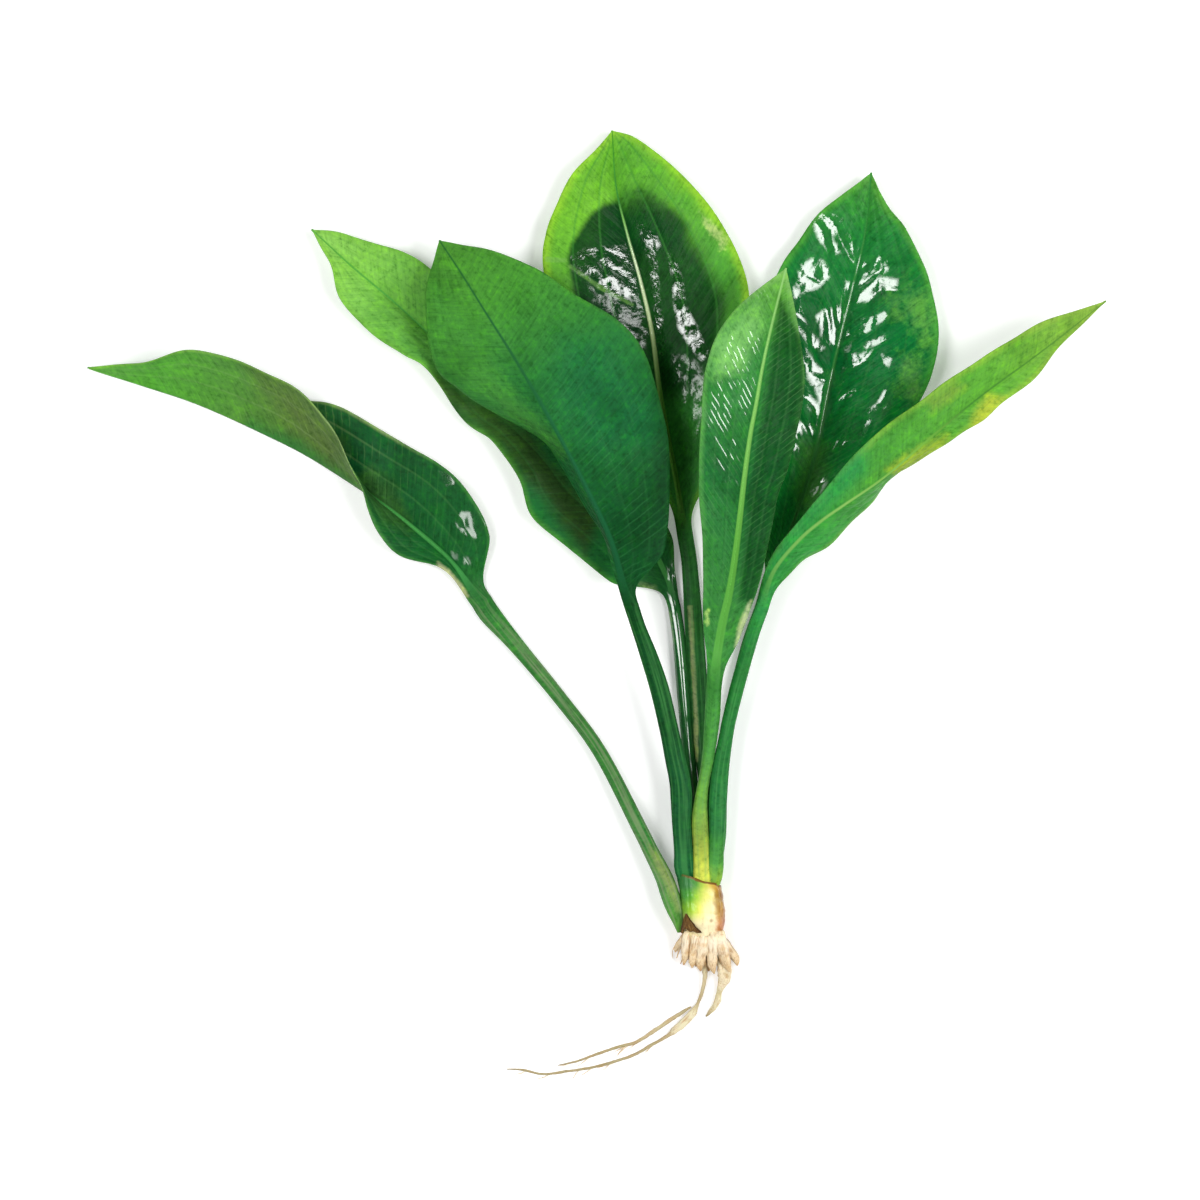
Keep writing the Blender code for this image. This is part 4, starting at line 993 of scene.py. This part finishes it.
# Crown sections along Y: y, middle x, half width, middle z, half height
CROWN_SECTIONS = [
    (-7.1, 0.0, 5.3, 5.5, 4.3), (-6.5, 0.0, 5.9, 5.6, 4.9), (-4.0, 0.1, 6.4, 5.7, 6.0),
    (0.0, 0.0, 6.5, 5.7, 6.4), (5.0, -0.6, 6.5, 5.8, 6.2), (9.1, -1.3, 6.7, 5.9, 5.9),
]
CROWN_START_Y = -7.05
CROWN_END_Y = 9.1
CROWN_END_SLOPE = -0.28
CROWN_SQUARENESS = 2.6
CROWN_STATIONS = 72
CROWN_SIDES = 112
CROWN_MIDDLE_Z = 5.7
# Unevenness of the crown: height, length of its lumps along the crown, lumps round it, seed
CROWN_LUMPS = [(0.16, 2.6, 2, 9, 91), (0.07, 0.9, 5, 19, 92)]
# Where one leaf sheath laps over the next around the crown, in degrees from +X, and how far
# that edge sways as it runs along the crown
SHEATH_EDGES = (34, 121, 168, 205, 252, 300, 340)
SHEATH_SWAY_DEGREES = 3.0
SHEATH_DEPTH = 0.2
SHEATH_GROOVE_DEGREES = 2.6
SHEATH_LIP = 0.1
SHEATH_LIP_DEGREES = 9
SHEATH_EDGE_THINNING = 0.3
# Levels of the old leaf scars along Y
LEAF_SCARS = (3.9, -1.6, -4.6)
SCAR_SWAY = 0.8
SCAR_DEPTH = 0.1
SCAR_WIDTH = 0.3
RAGGED_EDGE = 0.25
WORN_FOOT = 0.9
# Scale to a metre of the crown's cloud, blotch and grain patterns, and of the roots' two
CROWN_PATTERNS = (230.0, 520.0, 1500.0)
ROOT_PATTERNS = (380.0, 2200.0)

# Colours across the crown's upper side at four levels: y, then x and colour pairs
CROWN_BANDS = [
    (8.0, [(-8.4, "3f8440"), (-7.2, "34783a"), (-3.8, "307638"), (-1.6, "569638"),
           (0.2, "a4c244"), (1.8, "ccc04c"), (3.6, "c8983c"), (5.4, "b07c34"), (6.4, "8c5c28")]),
    (4.4, [(-8.2, "5c9840"), (-6.2, "429038"), (-3.9, "58a430"), (-1.8, "98c434"),
           (0.3, "dcdc70"), (2.6, "e8dc90"), (3.5, "a88430"), (5.0, "886022"), (6.6, "6a3a14")]),
    (0.2, [(-8.0, "8cb050"), (-5.6, "78b02c"), (-3.4, "a4cc34"), (-1.4, "e4e468"),
           (0.6, "f2eaa8"), (3.4, "f2e4ac"), (4.9, "cca85c"), (5.8, "a47430"), (6.7, "7c4418")]),
    (-4.6, [(-8.0, "a88c68"), (-4.0, "dccc98"), (0.4, "f2e6bc"), (3.6, "f0dab0"),
            (4.8, "c88a58"), (6.7, "844020")]),
]
# The same from the cut leaf bases down, for what the photograph doesn't show
CROWN_UNDERSIDE = [(0.0, "6c9444"), (4.0, "8ca448"), (8.0, "c4b070"), (12.0, "d0a878"),
                   (17.0, "b08458")]
# One round scar: x, y and radius
CROWN_SPOT = (2.4, -2.9, 0.9)


def crown_points(y, angle, lift):
    """Points on the crown's rounded-square section; angle 0 is +X, a quarter turn is +Z."""
    levels, *columns = np.array(CROWN_SECTIONS).T
    middle_x, half_width, middle_z, half_height = (
        np.interp(y, levels, column) for column in columns)
    across, height = (np.sign(part) * np.abs(part) ** (2.0 / CROWN_SQUARENESS)
                      for part in (np.cos(angle), np.sin(angle)))
    return np.stack(np.broadcast_arrays(
        middle_x + (half_width + lift) * across, y, middle_z + (half_height + lift) * height),
                    axis=-1)


def make_crown():
    levels = np.linspace(CROWN_END_Y, CROWN_START_Y, CROWN_STATIONS)[:, None]
    angles = np.linspace(0, 2 * math.pi, CROWN_SIDES, endpoint=False)[None, :]
    degrees = np.degrees(angles)
    lift = 0
    for size, length, turns, start, seed in CROWN_LUMPS:
        lift += size * lattice_noise(levels / length + turns * np.cos(angles) + start,
                                     turns * np.sin(angles) + start, seed)
    for edge in SHEATH_EDGES:
        bend = edge + SHEATH_SWAY_DEGREES * np.sin(levels * 0.35 + edge)
        gap = (degrees - bend + 180) % 360 - 180
        groove = np.exp(-(gap / SHEATH_GROOVE_DEGREES) ** 2)
        lift -= SHEATH_DEPTH * groove * smooth((levels + 5.0) / 8.0)
        lift += SHEATH_LIP * smooth(1 - np.abs(gap - SHEATH_LIP_DEGREES) / SHEATH_LIP_DEGREES)
    for scar in LEAF_SCARS:
        line = levels - scar - SCAR_SWAY * np.sin(angles * 2 + scar)
        lift -= SCAR_DEPTH * np.exp(-(line / SCAR_WIDTH) ** 2)
    # the upper edge of the sheath thins out onto the petioles
    upper_end = smooth((levels - 6.5) / 2.6)
    lift -= SHEATH_EDGE_THINNING * upper_end * smooth(np.sin(angles) * 1.6)
    rings = crown_points(levels, angles, lift)
    # that edge is slanted and ragged, and so is the worn foot of the crown
    slide = smooth((levels - 2.0) / 7.0)
    rings[..., 1] += CROWN_END_SLOPE * rings[..., 0] * slide
    ragged = lattice_noise(rings[..., 0] / 1.7 + 30, 3, 93)
    rings[..., 1] += RAGGED_EDGE * ragged * slide
    foot = smooth(CROWN_START_Y + 1.0 - levels)
    worn = np.abs(lattice_noise(rings[..., 0] / 1.3 + 40, 7, 94))
    rings[..., 1] -= WORN_FOOT * worn * foot
    places = {"below_end": CROWN_END_Y - levels, "turn": degrees / 360,
              "east": rings[..., 0], "north": rings[..., 1],
              "under": smooth((CROWN_MIDDLE_Z - rings[..., 2]) / 2.5)}
    mesh_piece("crown_fine", [(rings, places)], crown_material(), ("crown",))


def crown_material():
    paint = Paint("crown_flesh")
    spot = paint.spot()
    below_end = paint.place("below_end")
    cloud, blotch, grain = (paint.noise(spot, scale) for scale in CROWN_PATTERNS)
    wobble = paint.calc("SUBTRACT", cloud, 0.5)
    east = paint.calc("ADD", paint.place("east"), paint.times(wobble, 4.0))
    north = paint.calc("ADD", paint.place("north"), paint.times(wobble, 2.0))
    above_level = None
    for level, stops in CROWN_BANDS:
        band = paint.ramp(east, stops, -8.5, 7.0)
        if paint.colour is None:
            paint.colour = band
        else:
            paint.lay(paint.step(north, above_level, level), band)
        above_level = level
    underside = paint.ramp(below_end, CROWN_UNDERSIDE, 0.0, 17.0)
    paint.lay(paint.place("under"), underside)
    fibres = paint.fibres(paint.place("turn"), 70.0, below_end, 0.25, detail=4.0)
    paint.lay(paint.step(fibres, 0.50, 0.72, 0.25), "b8a468", "MULTIPLY")
    rust = paint.times(paint.step(cloud, 0.5, 0.62), paint.step(east, 3.2, 5.2))
    paint.lay(paint.times(rust, 0.4), "8c5c24")
    paint.lay(paint.step(blotch, 0.5, 0.75, 0.3), "f6f0c0", "SOFT_LIGHT")
    paint.lay(paint.step(grain, 0.62, 0.78, 0.3), "a07c40")
    x, y, radius = CROWN_SPOT
    away = paint.add("ShaderNodeVectorMath",
                     {0: paint.vector(paint.place("east"), paint.place("north")),
                      1: (x, y, 0.0)}, operation="DISTANCE").outputs["Value"]
    scar = paint.calc("ADD", away, paint.times(wobble, 1.2))
    paint.lay(paint.step(scar, radius, 0.2, 0.7), "8a6c38")
    ragged = paint.calc("ADD", below_end, paint.times(wobble, 0.5))
    dry_edge = paint.step(ragged, 0.85, 0.5)
    paint.lay(paint.times(dry_edge, paint.between(east, -8.5, -1.0, 0.35, 0.95)), "70480f")
    rough = paint.between(cloud, 0.3, 0.7, 0.26, 0.42)
    normal = paint.bump(grain, 0.04, paint.bump(fibres, 0.08))
    paint.surface({"Base Color": paint.colour, "Roughness": rough, "Normal": normal,
                   "Specular IOR Level": 0.3})
    return paint.material


SCALE_STATIONS = 40
SCALE_POINTS = 48
# Tears in the scale's foot: depth, place across it and width
SCALE_TEARS = [(1.5, 0.25, 0.3), (0.7, -0.45, 0.16)]
SCALE_FRAYING = 0.3
# How the scale curls away from the crown at its sides, in waves and at its foot
SCALE_SIDE_CURL = 0.4
SCALE_WAVES = 0.16
SCALE_FOOT_CURL = 0.25
# The scale from its apex down to its foot: y, its middle and its half spread round the crown
SCALE_Y = (-0.8, -6.6)
SCALE_MIDDLE_DEGREES = (133, 125)
SCALE_SPREAD_DEGREES = (1.6, 35)
# How far its inner face stands off the crown, to clear the crown's own unevenness
SCALE_GAP = 0.34
SCALE_THICKNESS = 0.42
SCALE_RIM_THICKNESS = 0.22


def make_dry_scale():
    """The brown triangular scale, thin and fibrous, with a torn foot."""
    share = np.linspace(0, 1, SCALE_STATIONS)[:, None]
    side = np.linspace(1, -1, SCALE_POINTS)[None, :]

    def from_apex(ends):
        return ends[0] + (ends[1] - ends[0]) * share

    torn = SCALE_FRAYING * lattice_noise(side * 9.0 + 3, 2, 17)
    for depth, middle, width in SCALE_TEARS:
        torn += depth * np.exp(-((side - middle) / width) ** 2)
    level = from_apex(SCALE_Y) + torn * share ** 2
    spread = (np.radians(from_apex(SCALE_SPREAD_DEGREES))
              * (1 + 0.05 * lattice_noise(share * 9, side, 18)))
    angle = np.radians(from_apex(SCALE_MIDDLE_DEGREES)) + spread * side
    curl = SCALE_SIDE_CURL * side ** 2 * share + SCALE_FOOT_CURL * share ** 3
    curl += SCALE_WAVES * lattice_noise(side * 5 + 8, share * 4 + 8, 19)
    thickness = SCALE_THICKNESS - (SCALE_THICKNESS - SCALE_RIM_THICKNESS) * np.abs(side)
    inner = crown_points(level, angle, SCALE_GAP + curl)
    outer = crown_points(level, angle, SCALE_GAP + curl + thickness)
    rings = np.concatenate([outer, inner[:, ::-1]], axis=1)
    places = {"along": share, "across": np.concatenate([side, side[:, ::-1]], axis=1)}

    paint = Paint("dry_scale_husk")
    along, across = paint.place("along"), paint.place("across")
    fibre = paint.fibres(across, 9.0, along, 2.5, detail=4.0, roughness=0.7)
    grain = paint.noise(paint.spot(), CROWN_PATTERNS[-1])
    paint.colour = paint.ramp(fibre, [(0.3, "34200c"), (0.46, "5c3e1a"), (0.6, "80602e"),
                                      (0.76, "9c8850")])
    rim = paint.step(paint.calc("ABSOLUTE", across), 0.74, 0.96, 0.85)
    paint.lay(rim, "361c0c")
    rough = paint.between(grain, 0.3, 0.7, 0.55, 0.85)
    normal = paint.bump(grain, 0.06, paint.bump(fibre, 0.25))
    paint.surface({"Base Color": paint.colour, "Roughness": rough, "Normal": normal,
                   "Specular IOR Level": 0.2})
    mesh_piece("dry_scale_fine", [(rings, places)], paint.material, ("dry_scale",))


# Short roots in three rows, one above another: start z and end z of the row, and then the
# start x, end x, end y and fullness of each root
ROOT_START_Y = -6.0
SHORT_ROOT_RADIUS = 1.2
SHORT_ROOT_SWAY = 0.35
SHORT_ROOT_ROWS = [
    (8.5, 4.4, [(-4.8, -5.9, -16.4, 1.1), (-2.4, -3.3, -17.2, 1.3), (0.0, -0.7, -18.2, 1.35),
                (2.4, 3.4, -19.0, 1.4), (4.8, 8.0, -18.4, 1.45)]),
    (5.4, 2.7, [(-4.9, -8.3, -12.6, 0.95), (5.1, 10.2, -16.6, 1.35)]),
    (2.3, 1.3, [(-3.9, -6.2, -15.4, 0.95), (-1.3, -2.2, -17.0, 1.0), (1.3, 1.6, -18.4, 1.0),
                (3.9, 7.2, -14.6, 0.95)]),
]
# Share of a short root's length, of its sideways bend, of its drop and of its radius
SHORT_ROOT_SHAPE = [(0.0, 0.0, 0.0, 0.8), (0.12, 0.02, 0.02, 1.02), (0.3, 0.16, 0.14, 1.05),
                    (0.55, 0.50, 0.50, 0.98), (0.75, 0.76, 0.76, 0.8), (0.9, 0.92, 0.92, 0.5),
                    (1.0, 1.0, 1.0, 0.14)]

# Long roots: x, y, z, radius along each root
LONG_ROOTS = {
    "root_long_left": [
        (-1.1, -6.4, 5.4, 1.2), (-0.9, -9.9, 5.0, 1.3), (-0.2, -13.6, 3.6, 1.2),
        (0.4, -17.4, 2.6, 0.95), (0.5, -19.9, 2.2, 0.75), (0.1, -22.8, 1.6, 0.65),
        (-0.6, -25.5, 1.0, 0.52), (-1.4, -27.6, 0.9, 0.42), (-2.2, -29.2, 0.95, 0.7),
        (-3.4, -31.2, 1.0, 1.05), (-6.0, -34.0, 1.1, 1.1), (-8.8, -36.4, 1.1, 1.05),
        (-10.0, -37.3, 0.9, 0.6), (-12.6, -38.9, 0.7, 0.42), (-15.9, -40.7, 0.65, 0.42),
        (-21.6, -43.8, 0.6, 0.42), (-32.4, -47.0, 0.5, 0.36), (-41.1, -48.4, 0.5, 0.38),
        (-48.0, -49.2, 0.45, 0.34), (-54.3, -47.9, 0.4, 0.28), (-58.8, -47.7, 0.3, 0.14),
    ],
    "root_branch_left": [
        (-3.6, -29.0, 0.8, 0.3), (-6.4, -30.8, 0.8, 0.5), (-9.6, -32.8, 0.8, 0.55),
        (-14.8, -36.3, 0.7, 0.6), (-20.2, -39.7, 0.65, 0.5), (-24.6, -40.8, 0.6, 0.45),
        (-32.4, -43.4, 0.5, 0.38), (-38.0, -45.4, 0.45, 0.34), (-43.5, -46.6, 0.3, 0.14),
    ],
    "root_long_right": [
        (2.0, -6.4, 5.4, 1.2), (2.5, -9.9, 5.0, 1.3), (4.0, -13.6, 3.6, 1.3),
        (6.0, -17.2, 2.5, 2.1), (6.4, -19.9, 2.0, 1.9), (5.5, -22.8, 1.5, 1.25),
        (4.8, -24.8, 1.3, 0.85), (4.5, -27.0, 1.2, 1.05), (3.2, -29.4, 1.0, 0.85),
        (2.0, -30.7, 0.8, 0.55), (0.9, -31.9, 0.5, 0.2),
    ],
}
ROOT_SIDES = 18
ROOT_STEP = 0.3
LEAST_STATIONS = 8
ROOT_FLUTES = 0.13
# Length along a root of its short and of its long wrinkles
SHORT_WAVE = 0.9
LONG_WAVE = 2.6
LEAST_GIRTH = 0.06
SHORT_WRINKLE = 0.10
LONG_WRINKLE = 0.13
ROOTLETS = 60
ROOTLET_SIDES = 9
ROOTLET_WRINKLE = 0.1
ROOTLET_START_Y = -6.2
# A full turn round a root, in radians
FULL_TURN = 6.283
ROOTLET_SEED = 60
# How many hairs stand on a long root, and from and to which of its points
HAIRS = [("root_long_left", 13), ("root_branch_left", 7)]
HAIR_POINTS = 60
HAIR_PLACES = (18, 56)
# Colours of the roots: of the thick ones along them, of the thin ones by their girth
THICK_COLOURS = [(0.0, "f0e0b8"), (0.25, "f2e6cc"), (0.6, "ecd8b4"), (0.9, "dcc090"),
                 (1.1, "b48858")]
THIN_COLOURS = [(0.1, "9c9068"), (0.4, "aca078"), (0.7, "ccc098"), (1.0, "dad2ae"),
                (1.3, "e4d6b4")]


def tube(path, sides, wrinkle, seed):
    """Wrinkled rings along a curve of x, y, z, radius points, and the values at their points."""
    rough_length = np.linalg.norm(np.diff(np.array(path)[:, :3], axis=0), axis=1).sum()
    stations = smooth_curve(path, max(int(rough_length / ROOT_STEP), LEAST_STATIONS))
    centres = stations[:, :3]
    tangents = tangents_of(centres)
    side = unit(np.cross(tangents, UP) + 1e-9)
    normal = np.cross(side, tangents)
    angles = np.linspace(0, 2 * math.pi, sides, endpoint=False)[None, :]
    along = np.linspace(0.0, 1.0, len(stations))[:, None]
    reach = along * rough_length
    girth = np.maximum(stations[:, 3:4], LEAST_GIRTH)
    flutes = np.cos(angles * 3 + seed + reach / 5.0) * smooth(girth * 2 - 0.8)
    radius = girth * (1 + ROOT_FLUTES * flutes
                      + wrinkle * lattice_noise(reach / SHORT_WAVE + 20 + np.cos(angles) * 0.8,
                                                np.sin(angles) * 0.8 + 20, seed)
                      + wrinkle * lattice_noise(reach / LONG_WAVE + 20, 5, seed + 1))
    rings = (centres[:, None, :]
             + (radius * np.cos(angles))[..., None] * side[:, None, :]
             + (radius * np.sin(angles))[..., None] * normal[:, None, :])
    return rings, {"along": along, "girth": girth, "turn": angles / (2 * math.pi), "reach": reach}


def root_material(name, key, stops, shadow, dry, crease_shade):
    """Skin coloured by a place, either along the root or its girth."""
    paint = Paint(name)
    spot = paint.spot()
    cloud, grain = (paint.noise(spot, scale) for scale in ROOT_PATTERNS)
    wobble = paint.times(paint.calc("SUBTRACT", cloud, 0.5), 0.5)
    paint.colour = paint.ramp(paint.calc("ADD", paint.place(key), wobble), stops, 0.0, 1.6)
    paint.lay(paint.step(cloud, 0.48, 0.72, 0.6), shadow, "MULTIPLY")
    ridge = paint.calc("SINE", paint.times(paint.place("turn"), 4 * FULL_TURN))
    fibres = paint.noise(paint.vector(paint.times(ridge, 1.6), paint.times(paint.place("reach"), 0.22),
                                      paint.times(paint.place("girth"), 9.0)), 1.0, 4.0)
    paint.lay(paint.step(fibres, 0.46, 0.68, 0.75), "b48c60")
    paint.lay(paint.step(grain, 0.6, 0.76, 0.3), "9c8460")
    # painted shade darkens the lower flanks of a root towards the crown, where it lies against its
    # neighbours
    height = paint.calc("SINE", paint.times(paint.place("turn"), FULL_TURN))
    flank_shade = paint.step(paint.calc("ADD", height, paint.times(wobble, 1.2)), 0.62, 0.1, crease_shade)
    paint.lay(paint.times(flank_shade, paint.step(paint.place("along"), 0.95, 0.5)), "8a6840")
    rough = paint.between(cloud, 0.3, 0.7, dry, dry + 0.2)
    normal = paint.bump(grain, 0.04, paint.bump(fibres, 0.16))
    paint.surface({"Base Color": paint.colour, "Roughness": rough, "Normal": normal,
                   "Specular IOR Level": 0.35, "Subsurface Weight": 0.15,
                   "Subsurface Radius": (0.6, 0.4, 0.25), "Subsurface Scale": MM})
    return paint.material


def short_root_path(start_z, end_z, start_x, end_x, end_y, fullness):
    """Straight out of the crown, then bending down and aside to a blunt tip."""
    length = ROOT_START_Y - end_y
    sway = SHORT_ROOT_SWAY * math.sin(start_x * 2.3 + start_z)
    return [(start_x + (end_x - start_x) * across + sway * math.sin(6.0 * along),
             ROOT_START_Y - length * along,
             start_z - (start_z - end_z) * fallen, SHORT_ROOT_RADIUS * fullness * thick)
            for along, across, fallen, thick in SHORT_ROOT_SHAPE]


def rootlet_paths():
    """Thin rootlets between the short roots, and a few hairs along the long ones."""
    random = np.random.default_rng(7)
    paths = []
    for _ in range(ROOTLETS):
        start_x = random.uniform(-5.6, 5.6)
        end_x = start_x * 1.3 + 0.5 + random.uniform(-1.6, 1.6)
        end_y = random.uniform(-18.0, -11.5) + 0.25 * abs(end_x)
        start_z = random.uniform(3.0, 9.9)
        end_z = 0.5 + 0.46 * start_z
        bow = random.uniform(-0.8, 0.8)
        girth = random.uniform(0.3, 0.85)
        paths.append([(start_x + (end_x - start_x) * share ** 1.5 + bow * math.sin(3.1 * share),
                       ROOTLET_START_Y + (end_y - ROOTLET_START_Y) * share,
                       start_z + (end_z - start_z) * share ** 1.4, girth * (1.0 - 0.75 * share))
                      for share in (0, 0.25, 0.5, 0.75, 1.0)])
    # the one rootlet that stands out to the left, clear of the others
    paths.append([(-6.8, -9.2, 3.6, 0.2), (-8.4, -10.6, 2.6, 0.16), (-9.2, -12.6, 1.4, 0.14),
                  (-9.0, -14.6, 0.6, 0.08)])
    for name, count in HAIRS:
        route = smooth_curve(LONG_ROOTS[name], HAIR_POINTS)
        for place in random.integers(*HAIR_PLACES, count):
            x, y, z, _ = route[place]
            turn = random.uniform(-2.0, 1.0)
            run = random.uniform(1.4, 4.2)
            paths.append([(x, y, z, 0.16),
                          (x - run * 0.5, y - run * 0.3 + turn * 0.3, 0.4, 0.13),
                          (x - run, y - run * 0.5 + turn, 0.2, 0.05)])
    return paths


def make_roots():
    thick = root_material("root_thick_skin", "along", THICK_COLOURS, shadow="e4c898", dry=0.35,
                          crease_shade=0.7)
    thin = root_material("root_thin_skin", "girth", THIN_COLOURS, shadow="d0c294", dry=0.4,
                         crease_shade=0.3)
    number = 0
    for start_z, end_z, roots in SHORT_ROOT_ROWS:
        for root in roots:
            number += 1
            node = "root_short_%02d" % number
            body = tube(short_root_path(start_z, end_z, *root), ROOT_SIDES, SHORT_WRINKLE, number)
            mesh_piece(node + "_fine", [body], thick, (node,))
    for node, path in LONG_ROOTS.items():
        number += 1
        body = tube(path, ROOT_SIDES, LONG_WRINKLE, number)
        mesh_piece(node + "_fine", [body], thin, (node,))
    hairs = [tube(path, ROOTLET_SIDES, ROOTLET_WRINKLE, ROOTLET_SEED + index)
             for index, path in enumerate(rootlet_paths())]
    mesh_piece("rootlets", hairs, thick)


def make_stage():
    """A wide pale floor under the plant."""
    mesh = bpy.data.meshes.new("floor")
    reach = 4.0
    mesh.from_pydata([(-reach, -reach, 0), (reach, -reach, 0), (reach, reach, 0),
                      (-reach, reach, 0)], [], [(0, 1, 2, 3)])
    paint = Paint("floor_paper")
    paint.surface({"Base Color": (0.93, 0.93, 0.93, 1.0), "Roughness": 0.8,
                   "Emission Color": WHITE, "Emission Strength": 0.2})
    mesh.materials.append(paint.material)
    floor = new_object("floor", mesh)


def area_light(name, place, size, watts):
    """A softbox that faces the middle of the plant."""
    lamp = bpy.data.lights.new(name, "AREA")
    lamp.shape = "RECTANGLE"
    lamp.size, lamp.size_y = size
    lamp.energy = watts
    holder = new_object(name, lamp)
    holder.location = place
    aim = Vector(PLANT_MIDDLE) - Vector(place)
    holder.rotation_euler = aim.to_track_quat("-Z", "Y").to_euler()


def make_lights():
    world = bpy.data.worlds.new("studio")
    world.use_nodes = True
    backdrop = world.node_tree.nodes["Background"]
    backdrop.inputs["Color"].default_value = WHITE
    backdrop.inputs["Strength"].default_value = 0.1
    bpy.context.scene.world = world
    area_light("softbox_left", (-0.52, 0.20, 1.05), (0.45, 0.45), 6.6)
    area_light("softbox_right", (0.68, 0.06, 1.0), (0.57, 0.57), 10.8)
    area_light("softbox_low", (-0.50, -0.46, 1.0), (0.3, 0.3), 1.6)
    # four wide panels low around the plant fill it in without mirroring in the wet leaves
    for number, (x, y) in enumerate([(-1.4, -1.3), (1.4, -1.3), (1.4, 1.5), (-1.4, 1.5)]):
        area_light("panel_%d" % (number + 1), (x, y, 0.95), (1.2, 0.8), 5.4)
    bpy.context.scene.view_settings.view_transform = "Standard"


def make_camera():
    """Straight above the plant, as the photograph looks at it."""
    lens = bpy.data.cameras.new("camera")
    lens.sensor_width = 36.0
    lens.lens = 400.0
    lens.clip_end = 20.0
    camera = new_object("camera", lens)
    camera.location = (-0.0309, 0.093, 4.0)
    bpy.context.scene.camera = camera


make_camera()
make_stage()
make_lights()
make_leaves()
make_crown()
make_dry_scale()
make_roots()
